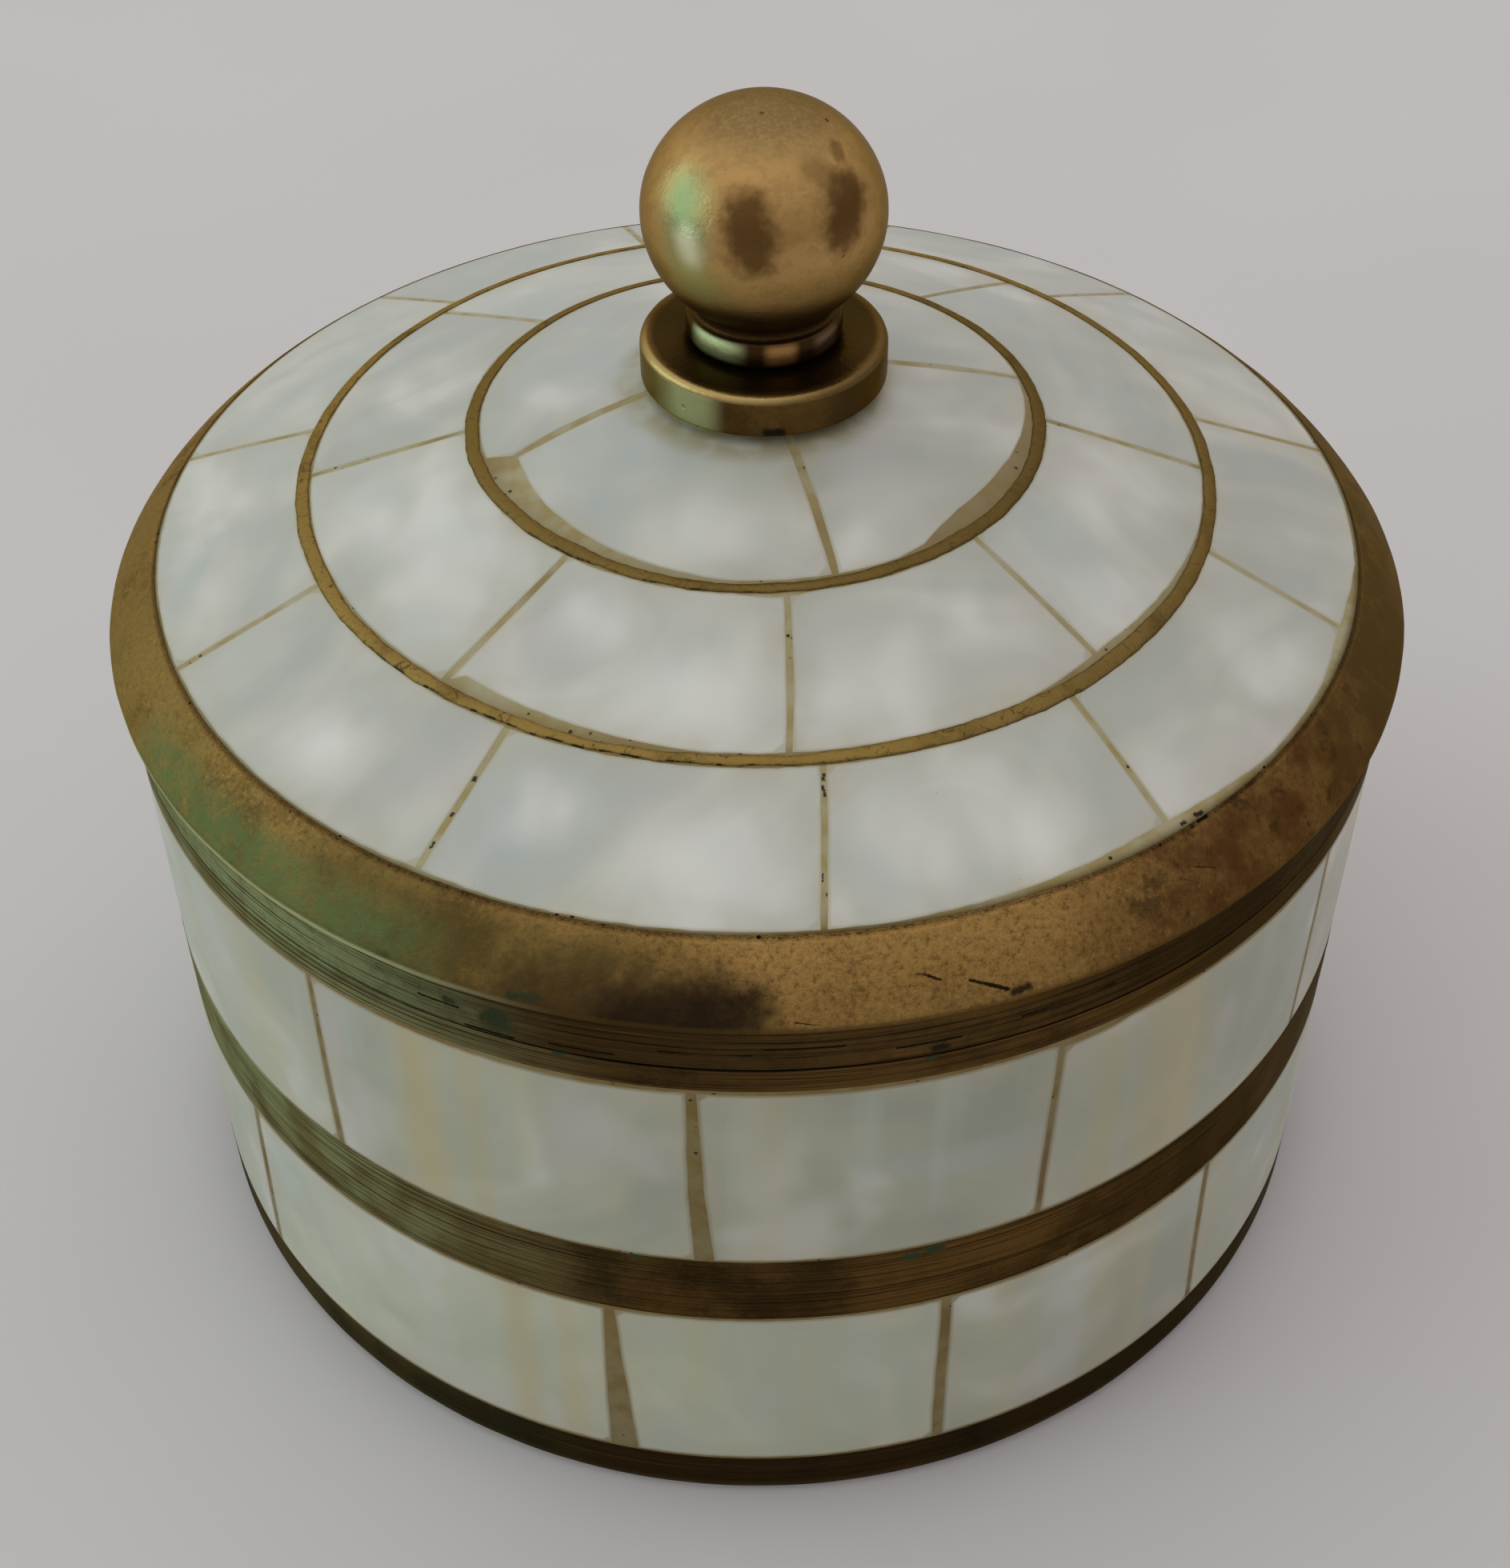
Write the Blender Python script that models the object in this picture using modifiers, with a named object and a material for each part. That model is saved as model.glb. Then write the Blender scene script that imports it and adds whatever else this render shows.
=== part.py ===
"""A round pill box in brass and mother-of-pearl, with a lift-off lid and a ball knob.

The box is a brass cup. Two bands of curved shell tiles stand on it between a foot ring, a belt
and a mouth ring, each bedded in resin. The lid is a spun brass dome in a bevelled rim ring. It
carries three circles of shell tiles parted by two brass wires, and a knob held by a nut beneath.
A collar under the lid drops into the cup's mouth.

Metres, +Z up. The origin is the middle of the base, and -Y is the front. Angles round the axis
are in degrees from the front, growing towards +X. The lid's pieces hang from an empty on the
axis, at the height of the lid's seat, so lifting that empty lifts the lid.
"""

import math

import bmesh
import bpy
from mathutils import Vector

MM = 0.001

# The box, from the outside in
BODY_RADIUS = 31.1 * MM
TILE_THICKNESS = 1.4 * MM
RESIN_THICKNESS = 0.5 * MM
CUP_WALL = 1.0 * MM

# The box, from the base up
FOOT_HEIGHT = 3.1 * MM
LOWER_BAND_HEIGHT = 11.7 * MM
BELT_HEIGHT = 4.3 * MM
UPPER_BAND_HEIGHT = 11.7 * MM
MOUTH_RING_HEIGHT = 1.3 * MM
CUP_RECESS = 1.6 * MM
CUP_FLOOR = 1.7 * MM
CUP_FILLET = 1.5 * MM
RING_CHAMFER = 0.3 * MM

# The lid's rim and dome, in heights above the lid's seat
SKIRT_HEIGHT = 2.2 * MM
RIM_OVERHANG = 0.6 * MM
RIM_UNDERCUT_HEIGHT = 0.7 * MM
RIM_BEVEL_HEIGHT = 2.85 * MM
RIM_BEVEL_WIDTH = 2.7 * MM
RIM_BEVEL_BULGE = 0.25 * MM
DOME_RISE = 8.4 * MM
DOME_POWER = 1.355  # 1 makes a cone, 2 a bowl
DOME_SHEET = 1.0 * MM
COLLAR_WALL = 1.0 * MM
COLLAR_DEPTH = 3.1 * MM

# The wires round the dome
OUTER_WIRE_RADIUS = 21.65 * MM
INNER_WIRE_RADIUS = 13.4 * MM
WIRE_WIDTH = 0.7 * MM
WIRE_PROUD = 0.08 * MM

# The knob
KNOB_OFFSET = 0.4 * MM  # towards +X: the hole isn't drilled quite in the middle
DISC_RADIUS = 5.75 * MM
DISC_THICKNESS = 2.05 * MM
DISC_CHAMFER = 0.2 * MM
DISC_COVER = 1.15 * MM  # how far the disc reaches over the innermost tiles
NECK_RADIUS = 3.62 * MM  # of the bead at its foot
NECK_WAIST = 0.45 * MM
BEAD_HEIGHT = 1.4 * MM  # from the disc to the top of the bead
BALL_RADIUS = 5.55 * MM
BALL_HALF_HEIGHT = 5.18 * MM
BALL_RISE = 6.1 * MM  # the ball's centre above the disc
STUD_RADIUS = 1.5 * MM
STUD_TIP = 0.6 * MM
NUT_ACROSS_FLATS = 5.5 * MM
NUT_THICKNESS = 2.2 * MM

# Clearances
GAP = 0.3 * MM  # between pieces that are glued or pressed together
SEAT_GAP = 0.12 * MM  # under the closed lid
COLLAR_CLEARANCE = 0.15 * MM
THREAD_CLEARANCE = 0.1 * MM

# Tile seams, each as its angles at the lower or outer edge and at the upper or inner edge, then
# its widths there in millimetres. The rest of each circle is shared out evenly.
LOWER_BAND_TILES = 11
LOWER_BAND_SEAMS = (
    (-53.8, -52.5, 0.7, 0.6),
    (-11.0, -11.5, 1.3, 0.45),
    (17.9, 17.7, 0.6, 0.5),
    (47.4, 46.2, 0.6, 0.5),
)
UPPER_BAND_TILES = 11
UPPER_BAND_SEAMS = (
    (-37.2, -37.5, 0.5, 0.4),
    (-3.1, -3.7, 0.9, 0.4),
    (25.5, 25.8, 0.4, 0.4),
)
LID_OUTER_TILES = 11
LID_OUTER_SEAMS = (
    (-132.8, -132.0, 0.4, 0.4),
    (-97.4, -96.4, 0.4, 0.4),
    (-63.4, -63.0, 0.4, 0.4),
    (-27.3, -27.0, 0.4, 0.4),
    (6.8, 8.6, 0.4, 0.4),
    (38.3, 39.2, 0.4, 0.4),
    (71.4, 72.6, 0.4, 0.4),
    (100.9, 101.5, 0.4, 0.4),
    (135.6, 136.4, 0.4, 0.4),
)
LID_MIDDLE_TILES = 8
LID_MIDDLE_SEAMS = (
    (-128.4, -127.6, 0.4, 0.4),
    (-85.6, -83.7, 0.4, 0.4),
    (-37.8, -36.0, 0.5, 0.4),
    (5.0, 7.2, 0.4, 0.4),
    (45.7, 46.8, 0.4, 0.4),
    (89.4, 89.8, 0.4, 0.4),
    (142.6, 143.4, 0.4, 0.4),
)
LID_INNER_TILES = 4
LID_INNER_SEAMS = (
    (-68.0, -73.8, 0.4, 0.5),
    (16.7, 18.9, 0.4, 0.5),
    (104.4, 107.0, 0.4, 0.5),
)

# Fineness of the round shapes
RING_STEPS = 48
KNOB_STEPS = 32
BALL_ARC_STEPS = 12
DOME_ARC_STEPS = 4
BORE_STEPS = 24
TILE_STEP_DEGREES = 7.0

BRASS = (0.34, 0.23, 0.10)
DARK_BRASS = (0.20, 0.14, 0.07)
PEARL = (0.72, 0.74, 0.71)
RESIN = (0.55, 0.44, 0.24)

# Radii that follow from the sizes above
TILE_INNER = BODY_RADIUS - TILE_THICKNESS
RESIN_OUTER = TILE_INNER - GAP
RESIN_INNER = RESIN_OUTER - RESIN_THICKNESS
CUP_OUTER = RESIN_INNER - GAP
CUP_INNER = CUP_OUTER - CUP_WALL
RING_INNER = CUP_OUTER + GAP
COLLAR_OUTER = CUP_INNER - COLLAR_CLEARANCE
COLLAR_INNER = COLLAR_OUTER - COLLAR_WALL
RIM_WIDEST = BODY_RADIUS + RIM_OVERHANG
RIM_INNER = RIM_WIDEST - RIM_BEVEL_WIDTH
SHEET_OUTER = RIM_INNER - GAP
TILE_HUB = DISC_RADIUS - DISC_COVER
STUD_HOLE = STUD_RADIUS + GAP + KNOB_OFFSET

# Heights that follow, the box's above its base and the lid's above its seat
BELT_BOTTOM = FOOT_HEIGHT + LOWER_BAND_HEIGHT
BELT_TOP = BELT_BOTTOM + BELT_HEIGHT
MOUTH_RING_BOTTOM = BELT_TOP + UPPER_BAND_HEIGHT
MOUTH_TOP = MOUTH_RING_BOTTOM + MOUTH_RING_HEIGHT
FLOOR_TOP = CUP_RECESS + CUP_FLOOR
LID_SEAT = MOUTH_TOP + SEAT_GAP
DOME_EDGE = SKIRT_HEIGHT + RIM_UNDERCUT_HEIGHT + RIM_BEVEL_HEIGHT
RESIN_DROP = TILE_THICKNESS + GAP
SHEET_DROP = RESIN_DROP + RESIN_THICKNESS + GAP
LID_THICKNESS = SHEET_DROP + DOME_SHEET


def dome_height(radius, drop=0.0):
    """The height of the lid's tiled face at this radius, or of the layer that lies drop below it."""
    return DOME_EDGE + DOME_RISE * (1 - (radius / RIM_INNER) ** DOME_POWER) - drop


SHEET_UNDERSIDE = dome_height(SHEET_OUTER, LID_THICKNESS)
DISC_BOTTOM = dome_height(TILE_HUB) + GAP
DISC_TOP = DISC_BOTTOM + DISC_THICKNESS
NUT_TOP = dome_height(STUD_HOLE, LID_THICKNESS) - GAP


def new_collection(name):
    collection = bpy.data.collections.new(name)
    bpy.context.scene.collection.children.link(collection)
    return collection


def clear_scene():
    for thing in list(bpy.data.objects):
        bpy.data.objects.remove(thing)


def principled(name, colour, roughness, metallic):
    material = bpy.data.materials.new(name)
    material.use_nodes = True
    shader = material.node_tree.nodes["Principled BSDF"]
    shader.inputs["Base Color"].default_value = (*colour, 1.0)
    shader.inputs["Roughness"].default_value = roughness
    shader.inputs["Metallic"].default_value = metallic
    return material


FINISHES = {
    "brass": (BRASS, 0.45, 1.0),
    "dark_brass": (DARK_BRASS, 0.55, 1.0),
    "pearl": (PEARL, 0.22, 0.0),
    "resin": (RESIN, 0.5, 0.0),
}


def add_piece(name, mesh, parent, finish):
    """The mesh as a named piece in its own material, shaded smooth except at its corners."""
    mesh.materials.clear()
    mesh.materials.append(principled(name, *FINISHES[finish]))
    mesh.shade_smooth()
    mesh.set_sharp_from_angle(angle=math.radians(35))
    piece = bpy.data.objects.new(name, mesh)
    piece.parent = parent
    PIECES.objects.link(piece)
    return piece


def add_empty(name, height=0.0):
    empty = bpy.data.objects.new(name, None)
    empty.location.z = height
    PIECES.objects.link(empty)
    return empty


def turned_mesh(name, outline, closed=True, steps=RING_STEPS):
    """The mesh that (radius, height) points make round Z. They run down the outer side."""
    points = [(radius, 0.0, height) for radius, height in outline]
    edges = [(i, i + 1) for i in range(len(points) - 1)]
    if closed:
        edges.append((len(points) - 1, 0))
    profile = bpy.data.meshes.new(name + "_profile")
    profile.from_pydata(points, edges, [])
    turning = bpy.data.objects.new(name + "_profile", profile)
    PIECES.objects.link(turning)
    screw = turning.modifiers.new("Turn", "SCREW")
    screw.axis = "Z"
    screw.angle = math.tau
    screw.steps = steps
    screw.render_steps = steps
    screw.use_merge_vertices = True
    screw.merge_threshold = 0.00001
    graph = bpy.context.evaluated_depsgraph_get()
    mesh = bpy.data.meshes.new_from_object(turning.evaluated_get(graph))
    mesh.name = name
    bpy.data.objects.remove(turning)
    return mesh


def ring_outline(inner, outer, bottom, top, chamfer=0.0):
    """A square section with its two outer corners cut off."""
    if not chamfer:
        return [(inner, top), (outer, top), (outer, bottom), (inner, bottom)]
    return [
        (inner, top),
        (outer - chamfer, top),
        (outer, top - chamfer),
        (outer, bottom + chamfer),
        (outer - chamfer, bottom),
        (inner, bottom),
    ]


def arc(centre, radius, start, end, steps):
    """Points round a centre, from one angle to another in degrees, 0 pointing outwards."""
    turns = [math.radians(start + (end - start) * i / steps) for i in range(steps + 1)]
    return [(centre[0] + radius * math.cos(t), centre[1] + radius * math.sin(t)) for t in turns]


def dome_line(inner, outer, drop):
    """Points along the dome from one radius to another."""
    radii = [inner + (outer - inner) * i / DOME_ARC_STEPS for i in range(DOME_ARC_STEPS + 1)]
    return [(radius, dome_height(radius, drop)) for radius in radii]


def seam_circle(seams, count):
    """The seams in order, with the rest of the circle shared out evenly up to count seams."""
    low, high = seams[-1][0], seams[-1][1]
    left = count - len(seams) + 1
    shares = [i / left for i in range(1, left)]
    to_low, to_high = seams[0][0] + 360 - low, seams[0][1] + 360 - high
    return list(seams) + [
        (low + to_low * share, high + to_high * share, seams[-1][2], seams[-1][3])
        for share in shares
    ]


def curved_tile(name, place, start, end, steps_across, parent):
    """A tile between two seams: a unit cube cut into strips, its points sent through place.

    place takes a point's share of the way across the band and its share of the thickness, and
    gives its radius and height. start and end are the seams, and end is further round.
    """
    mesh = bmesh.new()
    bmesh.ops.create_cube(mesh, size=1.0)
    steps_round = max(1, round((end[0] - start[0]) / TILE_STEP_DEGREES))
    for axis, steps in ((0, steps_round), (1, steps_across)):
        along = [edge for edge in mesh.edges if abs((edge.verts[0].co - edge.verts[1].co)[axis]) > 0.99]
        if steps > 1:
            bmesh.ops.subdivide_edges(mesh, edges=along, cuts=steps - 1)
    for vertex in mesh.verts:
        round_share, across, thickness = vertex.co + Vector((0.5, 0.5, 0.5))
        radius, height = place(across, thickness)
        first = math.radians(start[0] + (start[1] - start[0]) * across)
        last = math.radians(end[0] + (end[1] - end[0]) * across)
        first += 0.5 * MM * (start[2] + (start[3] - start[2]) * across) / radius
        last -= 0.5 * MM * (end[2] + (end[3] - end[2]) * across) / radius
        turn = first + (last - first) * round_share
        vertex.co = (radius * math.sin(turn), -radius * math.cos(turn), height)
    data = bpy.data.meshes.new(name)
    mesh.to_mesh(data)
    mesh.free()
    return add_piece(name, data, parent, "pearl")


def tile_circle(label, seams, count, place, steps_across, parent):
    """A full circle of tiles named label_01 and on, counted round from the first seam."""
    circle = seam_circle(seams, count)
    ends = circle[1:] + [(circle[0][0] + 360, circle[0][1] + 360, *circle[0][2:])]
    for number, (start, end) in enumerate(zip(circle, ends), 1):
        curved_tile(f"{label}_{number:02d}", place, start, end, steps_across, parent)


def band_place(bottom, top):
    """Where a body tile's points go: up the band between two rings, and out through its thickness."""

    def place(across, thickness):
        height = bottom + GAP + (top - bottom - 2 * GAP) * across
        return TILE_INNER + TILE_THICKNESS * thickness, height

    return place


def dome_place(outer, inner):
    """Where a lid tile's points go: up the dome from one radius to another."""

    def place(across, thickness):
        radius = outer + (inner - outer) * across
        return radius, dome_height(radius, TILE_THICKNESS * (1 - thickness))

    return place


def add_cup(box):
    fillet = arc((CUP_INNER - CUP_FILLET, FLOOR_TOP + CUP_FILLET), CUP_FILLET, -90, 0, 3)
    outline = [(0.0, FLOOR_TOP), *fillet]
    outline += [(CUP_INNER, MOUTH_TOP), (CUP_OUTER, MOUTH_TOP)]
    outline += [(CUP_OUTER, CUP_RECESS), (0.0, CUP_RECESS)]
    add_piece("body_cup", turned_mesh("body_cup", outline, closed=False), box, "brass")


def add_body_rings(box):
    rings = (
        ("foot_ring", 0.0, FOOT_HEIGHT, RING_CHAMFER, "dark_brass"),
        ("belt_ring", BELT_BOTTOM, BELT_TOP, 0.0, "brass"),
        ("mouth_ring", MOUTH_RING_BOTTOM, MOUTH_TOP, 0.0, "brass"),
    )
    for name, bottom, top, chamfer, finish in rings:
        outline = ring_outline(RING_INNER, BODY_RADIUS, bottom, top, chamfer)
        add_piece(name, turned_mesh(name, outline), box, finish)


def add_bands(box):
    bands = (
        ("lower", FOOT_HEIGHT, BELT_BOTTOM, LOWER_BAND_SEAMS, LOWER_BAND_TILES),
        ("upper", BELT_TOP, MOUTH_RING_BOTTOM, UPPER_BAND_SEAMS, UPPER_BAND_TILES),
    )
    for label, bottom, top, seams, count in bands:
        name = label + "_resin_bed"
        outline = ring_outline(RESIN_INNER, RESIN_OUTER, bottom + GAP, top - GAP)
        add_piece(name, turned_mesh(name, outline), box, "resin")
        tile_circle(label + "_band_tile", seams, count, band_place(bottom, top), 1, box)


def add_rim(lid):
    """The bevelled ring round the lid. Its flange carries the dome's edge."""
    arris = (BODY_RADIUS, SKIRT_HEIGHT)
    widest = (RIM_WIDEST, SKIRT_HEIGHT + RIM_UNDERCUT_HEIGHT)
    top = (RIM_INNER, DOME_EDGE)
    middle = Vector(((widest[0] + top[0]) / 2, (widest[1] + top[1]) / 2))
    outwards = Vector((DOME_EDGE - widest[1], RIM_BEVEL_WIDTH)).normalized()
    crown = tuple(middle + RIM_BEVEL_BULGE * outwards)
    flange_inner = COLLAR_OUTER + GAP
    flange_top = SHEET_UNDERSIDE - GAP
    outline = [top, crown, widest, arris, (BODY_RADIUS, 0.0)]
    outline += [(flange_inner, 0.0), (flange_inner, flange_top), (RIM_INNER, flange_top)]
    add_piece("lid_rim_ring", turned_mesh("lid_rim_ring", outline), lid, "brass")


def add_collar(lid):
    outline = ring_outline(COLLAR_INNER, COLLAR_OUTER, -COLLAR_DEPTH, SHEET_UNDERSIDE - GAP)
    add_piece("lid_collar", turned_mesh("lid_collar", outline), lid, "brass")


def add_dome_layers(lid):
    """The brass sheet, and the resin over it, which is thicker under the knob's disc."""
    sheet = dome_line(STUD_HOLE, SHEET_OUTER, SHEET_DROP)
    sheet += reversed(dome_line(STUD_HOLE, SHEET_OUTER, LID_THICKNESS))
    add_piece("lid_dome", turned_mesh("lid_dome", sheet), lid, "brass")
    hub = TILE_HUB - GAP
    resin = [(STUD_HOLE, DISC_BOTTOM - GAP), (hub, DISC_BOTTOM - GAP)]
    resin += dome_line(hub, SHEET_OUTER, RESIN_DROP)
    resin += reversed(dome_line(STUD_HOLE, SHEET_OUTER, RESIN_DROP + RESIN_THICKNESS))
    add_piece("lid_resin_bed", turned_mesh("lid_resin_bed", resin), lid, "resin")


def add_wires(lid):
    wires = (("lid_outer_wire", OUTER_WIRE_RADIUS), ("lid_inner_wire", INNER_WIRE_RADIUS))
    for name, radius in wires:
        bottom = dome_height(radius - WIRE_WIDTH / 2, TILE_THICKNESS)
        top = dome_height(radius) + WIRE_PROUD
        outline = ring_outline(radius - WIRE_WIDTH / 2, radius + WIRE_WIDTH / 2, bottom, top)
        add_piece(name, turned_mesh(name, outline), lid, "brass")


def add_lid_tiles(lid):
    """Three circles of tiles: inside the rim, between the wires, and round the knob."""
    reach = WIRE_WIDTH / 2 + GAP
    outer_wire, inner_wire = OUTER_WIRE_RADIUS, INNER_WIRE_RADIUS
    circles = (
        ("outer", RIM_INNER - GAP, outer_wire + reach, LID_OUTER_SEAMS, LID_OUTER_TILES),
        ("middle", outer_wire - reach, inner_wire + reach, LID_MIDDLE_SEAMS, LID_MIDDLE_TILES),
        ("inner", inner_wire - reach, TILE_HUB, LID_INNER_SEAMS, LID_INNER_TILES),
    )
    for label, outer, inner, seams, count in circles:
        tile_circle(f"lid_{label}_tile", seams, count, dome_place(outer, inner), 2, lid)


def add_knob(knob):
    """The disc under the ball, then the ball, its neck and its stud as one turned piece."""
    bore = STUD_RADIUS + GAP
    disc = ring_outline(bore, DISC_RADIUS, DISC_BOTTOM, DISC_TOP, DISC_CHAMFER)
    add_piece("knob_disc", turned_mesh("knob_disc", disc, steps=KNOB_STEPS), knob, "brass")
    centre = DISC_TOP + BALL_RISE
    waist = NECK_RADIUS - NECK_WAIST
    lowest = math.degrees(math.asin(waist / BALL_RADIUS)) - 90
    ball = [
        (x, centre + z * BALL_HALF_HEIGHT / BALL_RADIUS)
        for x, z in arc((0.0, 0.0), BALL_RADIUS, 90, lowest, BALL_ARC_STEPS)
    ]
    ball[0] = (0.0, centre + BALL_HALF_HEIGHT)
    seat = DISC_TOP + GAP
    stud_end = NUT_TOP - NUT_THICKNESS - STUD_TIP
    bead_top = DISC_TOP + BEAD_HEIGHT
    ease = NECK_WAIST / 4
    neck = [(waist, bead_top), (NECK_RADIUS - ease, bead_top - ease / 2)]
    neck += [(NECK_RADIUS, (seat + bead_top) / 2), (NECK_RADIUS - ease, seat), (STUD_RADIUS, seat)]
    outline = ball + neck + [(STUD_RADIUS, stud_end), (0.0, stud_end)]
    mesh = turned_mesh("ball_knob", outline, closed=False, steps=KNOB_STEPS)
    add_piece("ball_knob", mesh, knob, "brass")


def add_nut(knob):
    """The hexagonal nut under the dome that pulls the knob down."""
    mesh = bmesh.new()
    corner = NUT_ACROSS_FLATS / math.sqrt(3)
    bmesh.ops.create_cone(
        mesh, cap_ends=True, segments=6, radius1=corner, radius2=corner, depth=NUT_THICKNESS
    )
    data = bpy.data.meshes.new("knob_nut")
    mesh.to_mesh(data)
    mesh.clear()
    bore = STUD_RADIUS + THREAD_CLEARANCE
    bmesh.ops.create_cone(
        mesh, cap_ends=True, segments=BORE_STEPS, radius1=bore, radius2=bore, depth=2 * NUT_THICKNESS
    )
    cutter_mesh = bpy.data.meshes.new("nut_bore")
    mesh.to_mesh(cutter_mesh)
    mesh.free()
    cutter = bpy.data.objects.new("nut_bore", cutter_mesh)
    cutter.parent = knob
    cutter.hide_render = True
    cutter.display_type = "WIRE"
    CUTTERS.objects.link(cutter)
    nut = add_piece("knob_nut", data, knob, "brass")
    nut.location.z = cutter.location.z = NUT_TOP - NUT_THICKNESS / 2
    cut = nut.modifiers.new("Bore", "BOOLEAN")
    cut.operation = "DIFFERENCE"
    cut.solver = "EXACT"
    cut.object = cutter


clear_scene()
PIECES = new_collection("pill_box")
CUTTERS = new_collection("cutters")

box_parent = add_empty("box")
add_cup(box_parent)
add_body_rings(box_parent)
add_bands(box_parent)

lid_parent = add_empty("lid", LID_SEAT)
add_rim(lid_parent)
add_collar(lid_parent)
add_dome_layers(lid_parent)
add_wires(lid_parent)
add_lid_tiles(lid_parent)

knob_parent = add_empty("knob")
knob_parent.parent = lid_parent
knob_parent.location.x = KNOB_OFFSET
add_knob(knob_parent)
add_nut(knob_parent)
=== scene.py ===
"""The looks of a round pill box in aged brass and mother-of-pearl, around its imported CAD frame.

Every CAD node is stood for by a finer piece: shell tiles with hand-cut edges set in amber resin,
turned and tarnished brass rings, wires laid by hand, and a worn ball knob. Angles round the axis
are in degrees from the front (-Y), growing towards +X. Textures work in millimetres.
"""

import math
import random

import bpy
import numpy as np
from mathutils import Matrix, Vector, noise


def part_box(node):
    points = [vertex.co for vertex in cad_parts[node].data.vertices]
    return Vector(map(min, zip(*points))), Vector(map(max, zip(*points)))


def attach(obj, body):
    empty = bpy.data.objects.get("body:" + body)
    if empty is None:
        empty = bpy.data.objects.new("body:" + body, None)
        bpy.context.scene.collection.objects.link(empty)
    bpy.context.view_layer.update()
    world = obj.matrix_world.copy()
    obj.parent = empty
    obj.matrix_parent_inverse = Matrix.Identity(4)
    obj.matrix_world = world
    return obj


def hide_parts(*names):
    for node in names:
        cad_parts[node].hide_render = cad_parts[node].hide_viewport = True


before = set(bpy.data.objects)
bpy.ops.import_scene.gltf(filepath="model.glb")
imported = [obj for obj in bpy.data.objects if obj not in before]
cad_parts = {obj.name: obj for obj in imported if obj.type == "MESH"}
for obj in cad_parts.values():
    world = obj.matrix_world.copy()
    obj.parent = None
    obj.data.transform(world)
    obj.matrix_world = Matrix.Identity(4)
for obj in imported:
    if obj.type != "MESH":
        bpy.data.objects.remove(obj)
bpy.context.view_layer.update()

MM = 0.001

# Sizes that the frame doesn't give by itself
TILE_THICKNESS = 1.4 * MM
DOME_POWER = 1.355
NECK_RADIUS = 3.62 * MM
NECK_WAIST = 0.45 * MM
BEAD_HEIGHT = 1.4 * MM
BALL_HALF_HEIGHT = 5.18 * MM
STUD_RADIUS = 1.5 * MM

# How finely the pieces are made
RING_STEPS = 256
KNOB_STEPS = 160
TILE_CELL = 0.5 * MM

# How close the tiles come to the brass, and how their edges are worked
TILE_JOINT = 0.05 * MM
TILE_EDGE = 0.07 * MM
TILE_CORNER = 0.5 * MM
RESIN_SINK = 0.03 * MM


def low_of(node):
    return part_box(node)[0]


def high_of(node):
    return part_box(node)[1]


BODY_RADIUS = high_of("belt_ring").x
CUP_OUTER = high_of("body_cup").x
CUP_BOTTOM = low_of("body_cup").z
FOOT_TOP = high_of("foot_ring").z
BELT_BOTTOM, BELT_TOP = low_of("belt_ring").z, high_of("belt_ring").z
MOUTH_BOTTOM, MOUTH_TOP = low_of("mouth_ring").z, high_of("mouth_ring").z
LID_SEAT = low_of("lid_rim_ring").z
RIM_WIDEST, DOME_EDGE = high_of("lid_rim_ring").x, high_of("lid_rim_ring").z
RIM_INNER = RIM_WIDEST - 2.7 * MM
ARRIS = LID_SEAT + 2.2 * MM
WIDEST = ARRIS + 0.7 * MM
DISC_BOTTOM, DISC_TOP = low_of("knob_disc").z, high_of("knob_disc").z
KNOB_X = (low_of("knob_disc").x + high_of("knob_disc").x) / 2
DISC_RADIUS = high_of("knob_disc").x - KNOB_X
BALL_TOP = high_of("ball_knob").z
BALL_RADIUS = high_of("ball_knob").x - KNOB_X
BALL_CENTRE = BALL_TOP - BALL_HALF_HEIGHT
WIRE_WIDTH = 0.7 * MM
OUTER_WIRE = high_of("lid_outer_wire").x - WIRE_WIDTH / 2
INNER_WIRE = high_of("lid_inner_wire").x - WIRE_WIDTH / 2
DOME_RISE = 8.4 * MM


def dome_height(radius):
    return DOME_EDGE + DOME_RISE * (1 - (max(radius, 0.0) / RIM_INNER) ** DOME_POWER)


def polar(angle, radius, height):
    turn = math.radians(angle)
    return Vector((radius * math.sin(turn), -radius * math.cos(turn), height))


def mix(a, b, share):
    return a + (b - a) * share


def waver(place, seed, scale):
    """Smooth noise from -1 to 1 along a line, with place in metres and scale its wavelength in millimetres."""
    return noise.noise(Vector((place / MM / scale, seed * 7.31, seed * 1.7)))


# ---------------------------------------------------------------- materials


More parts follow.
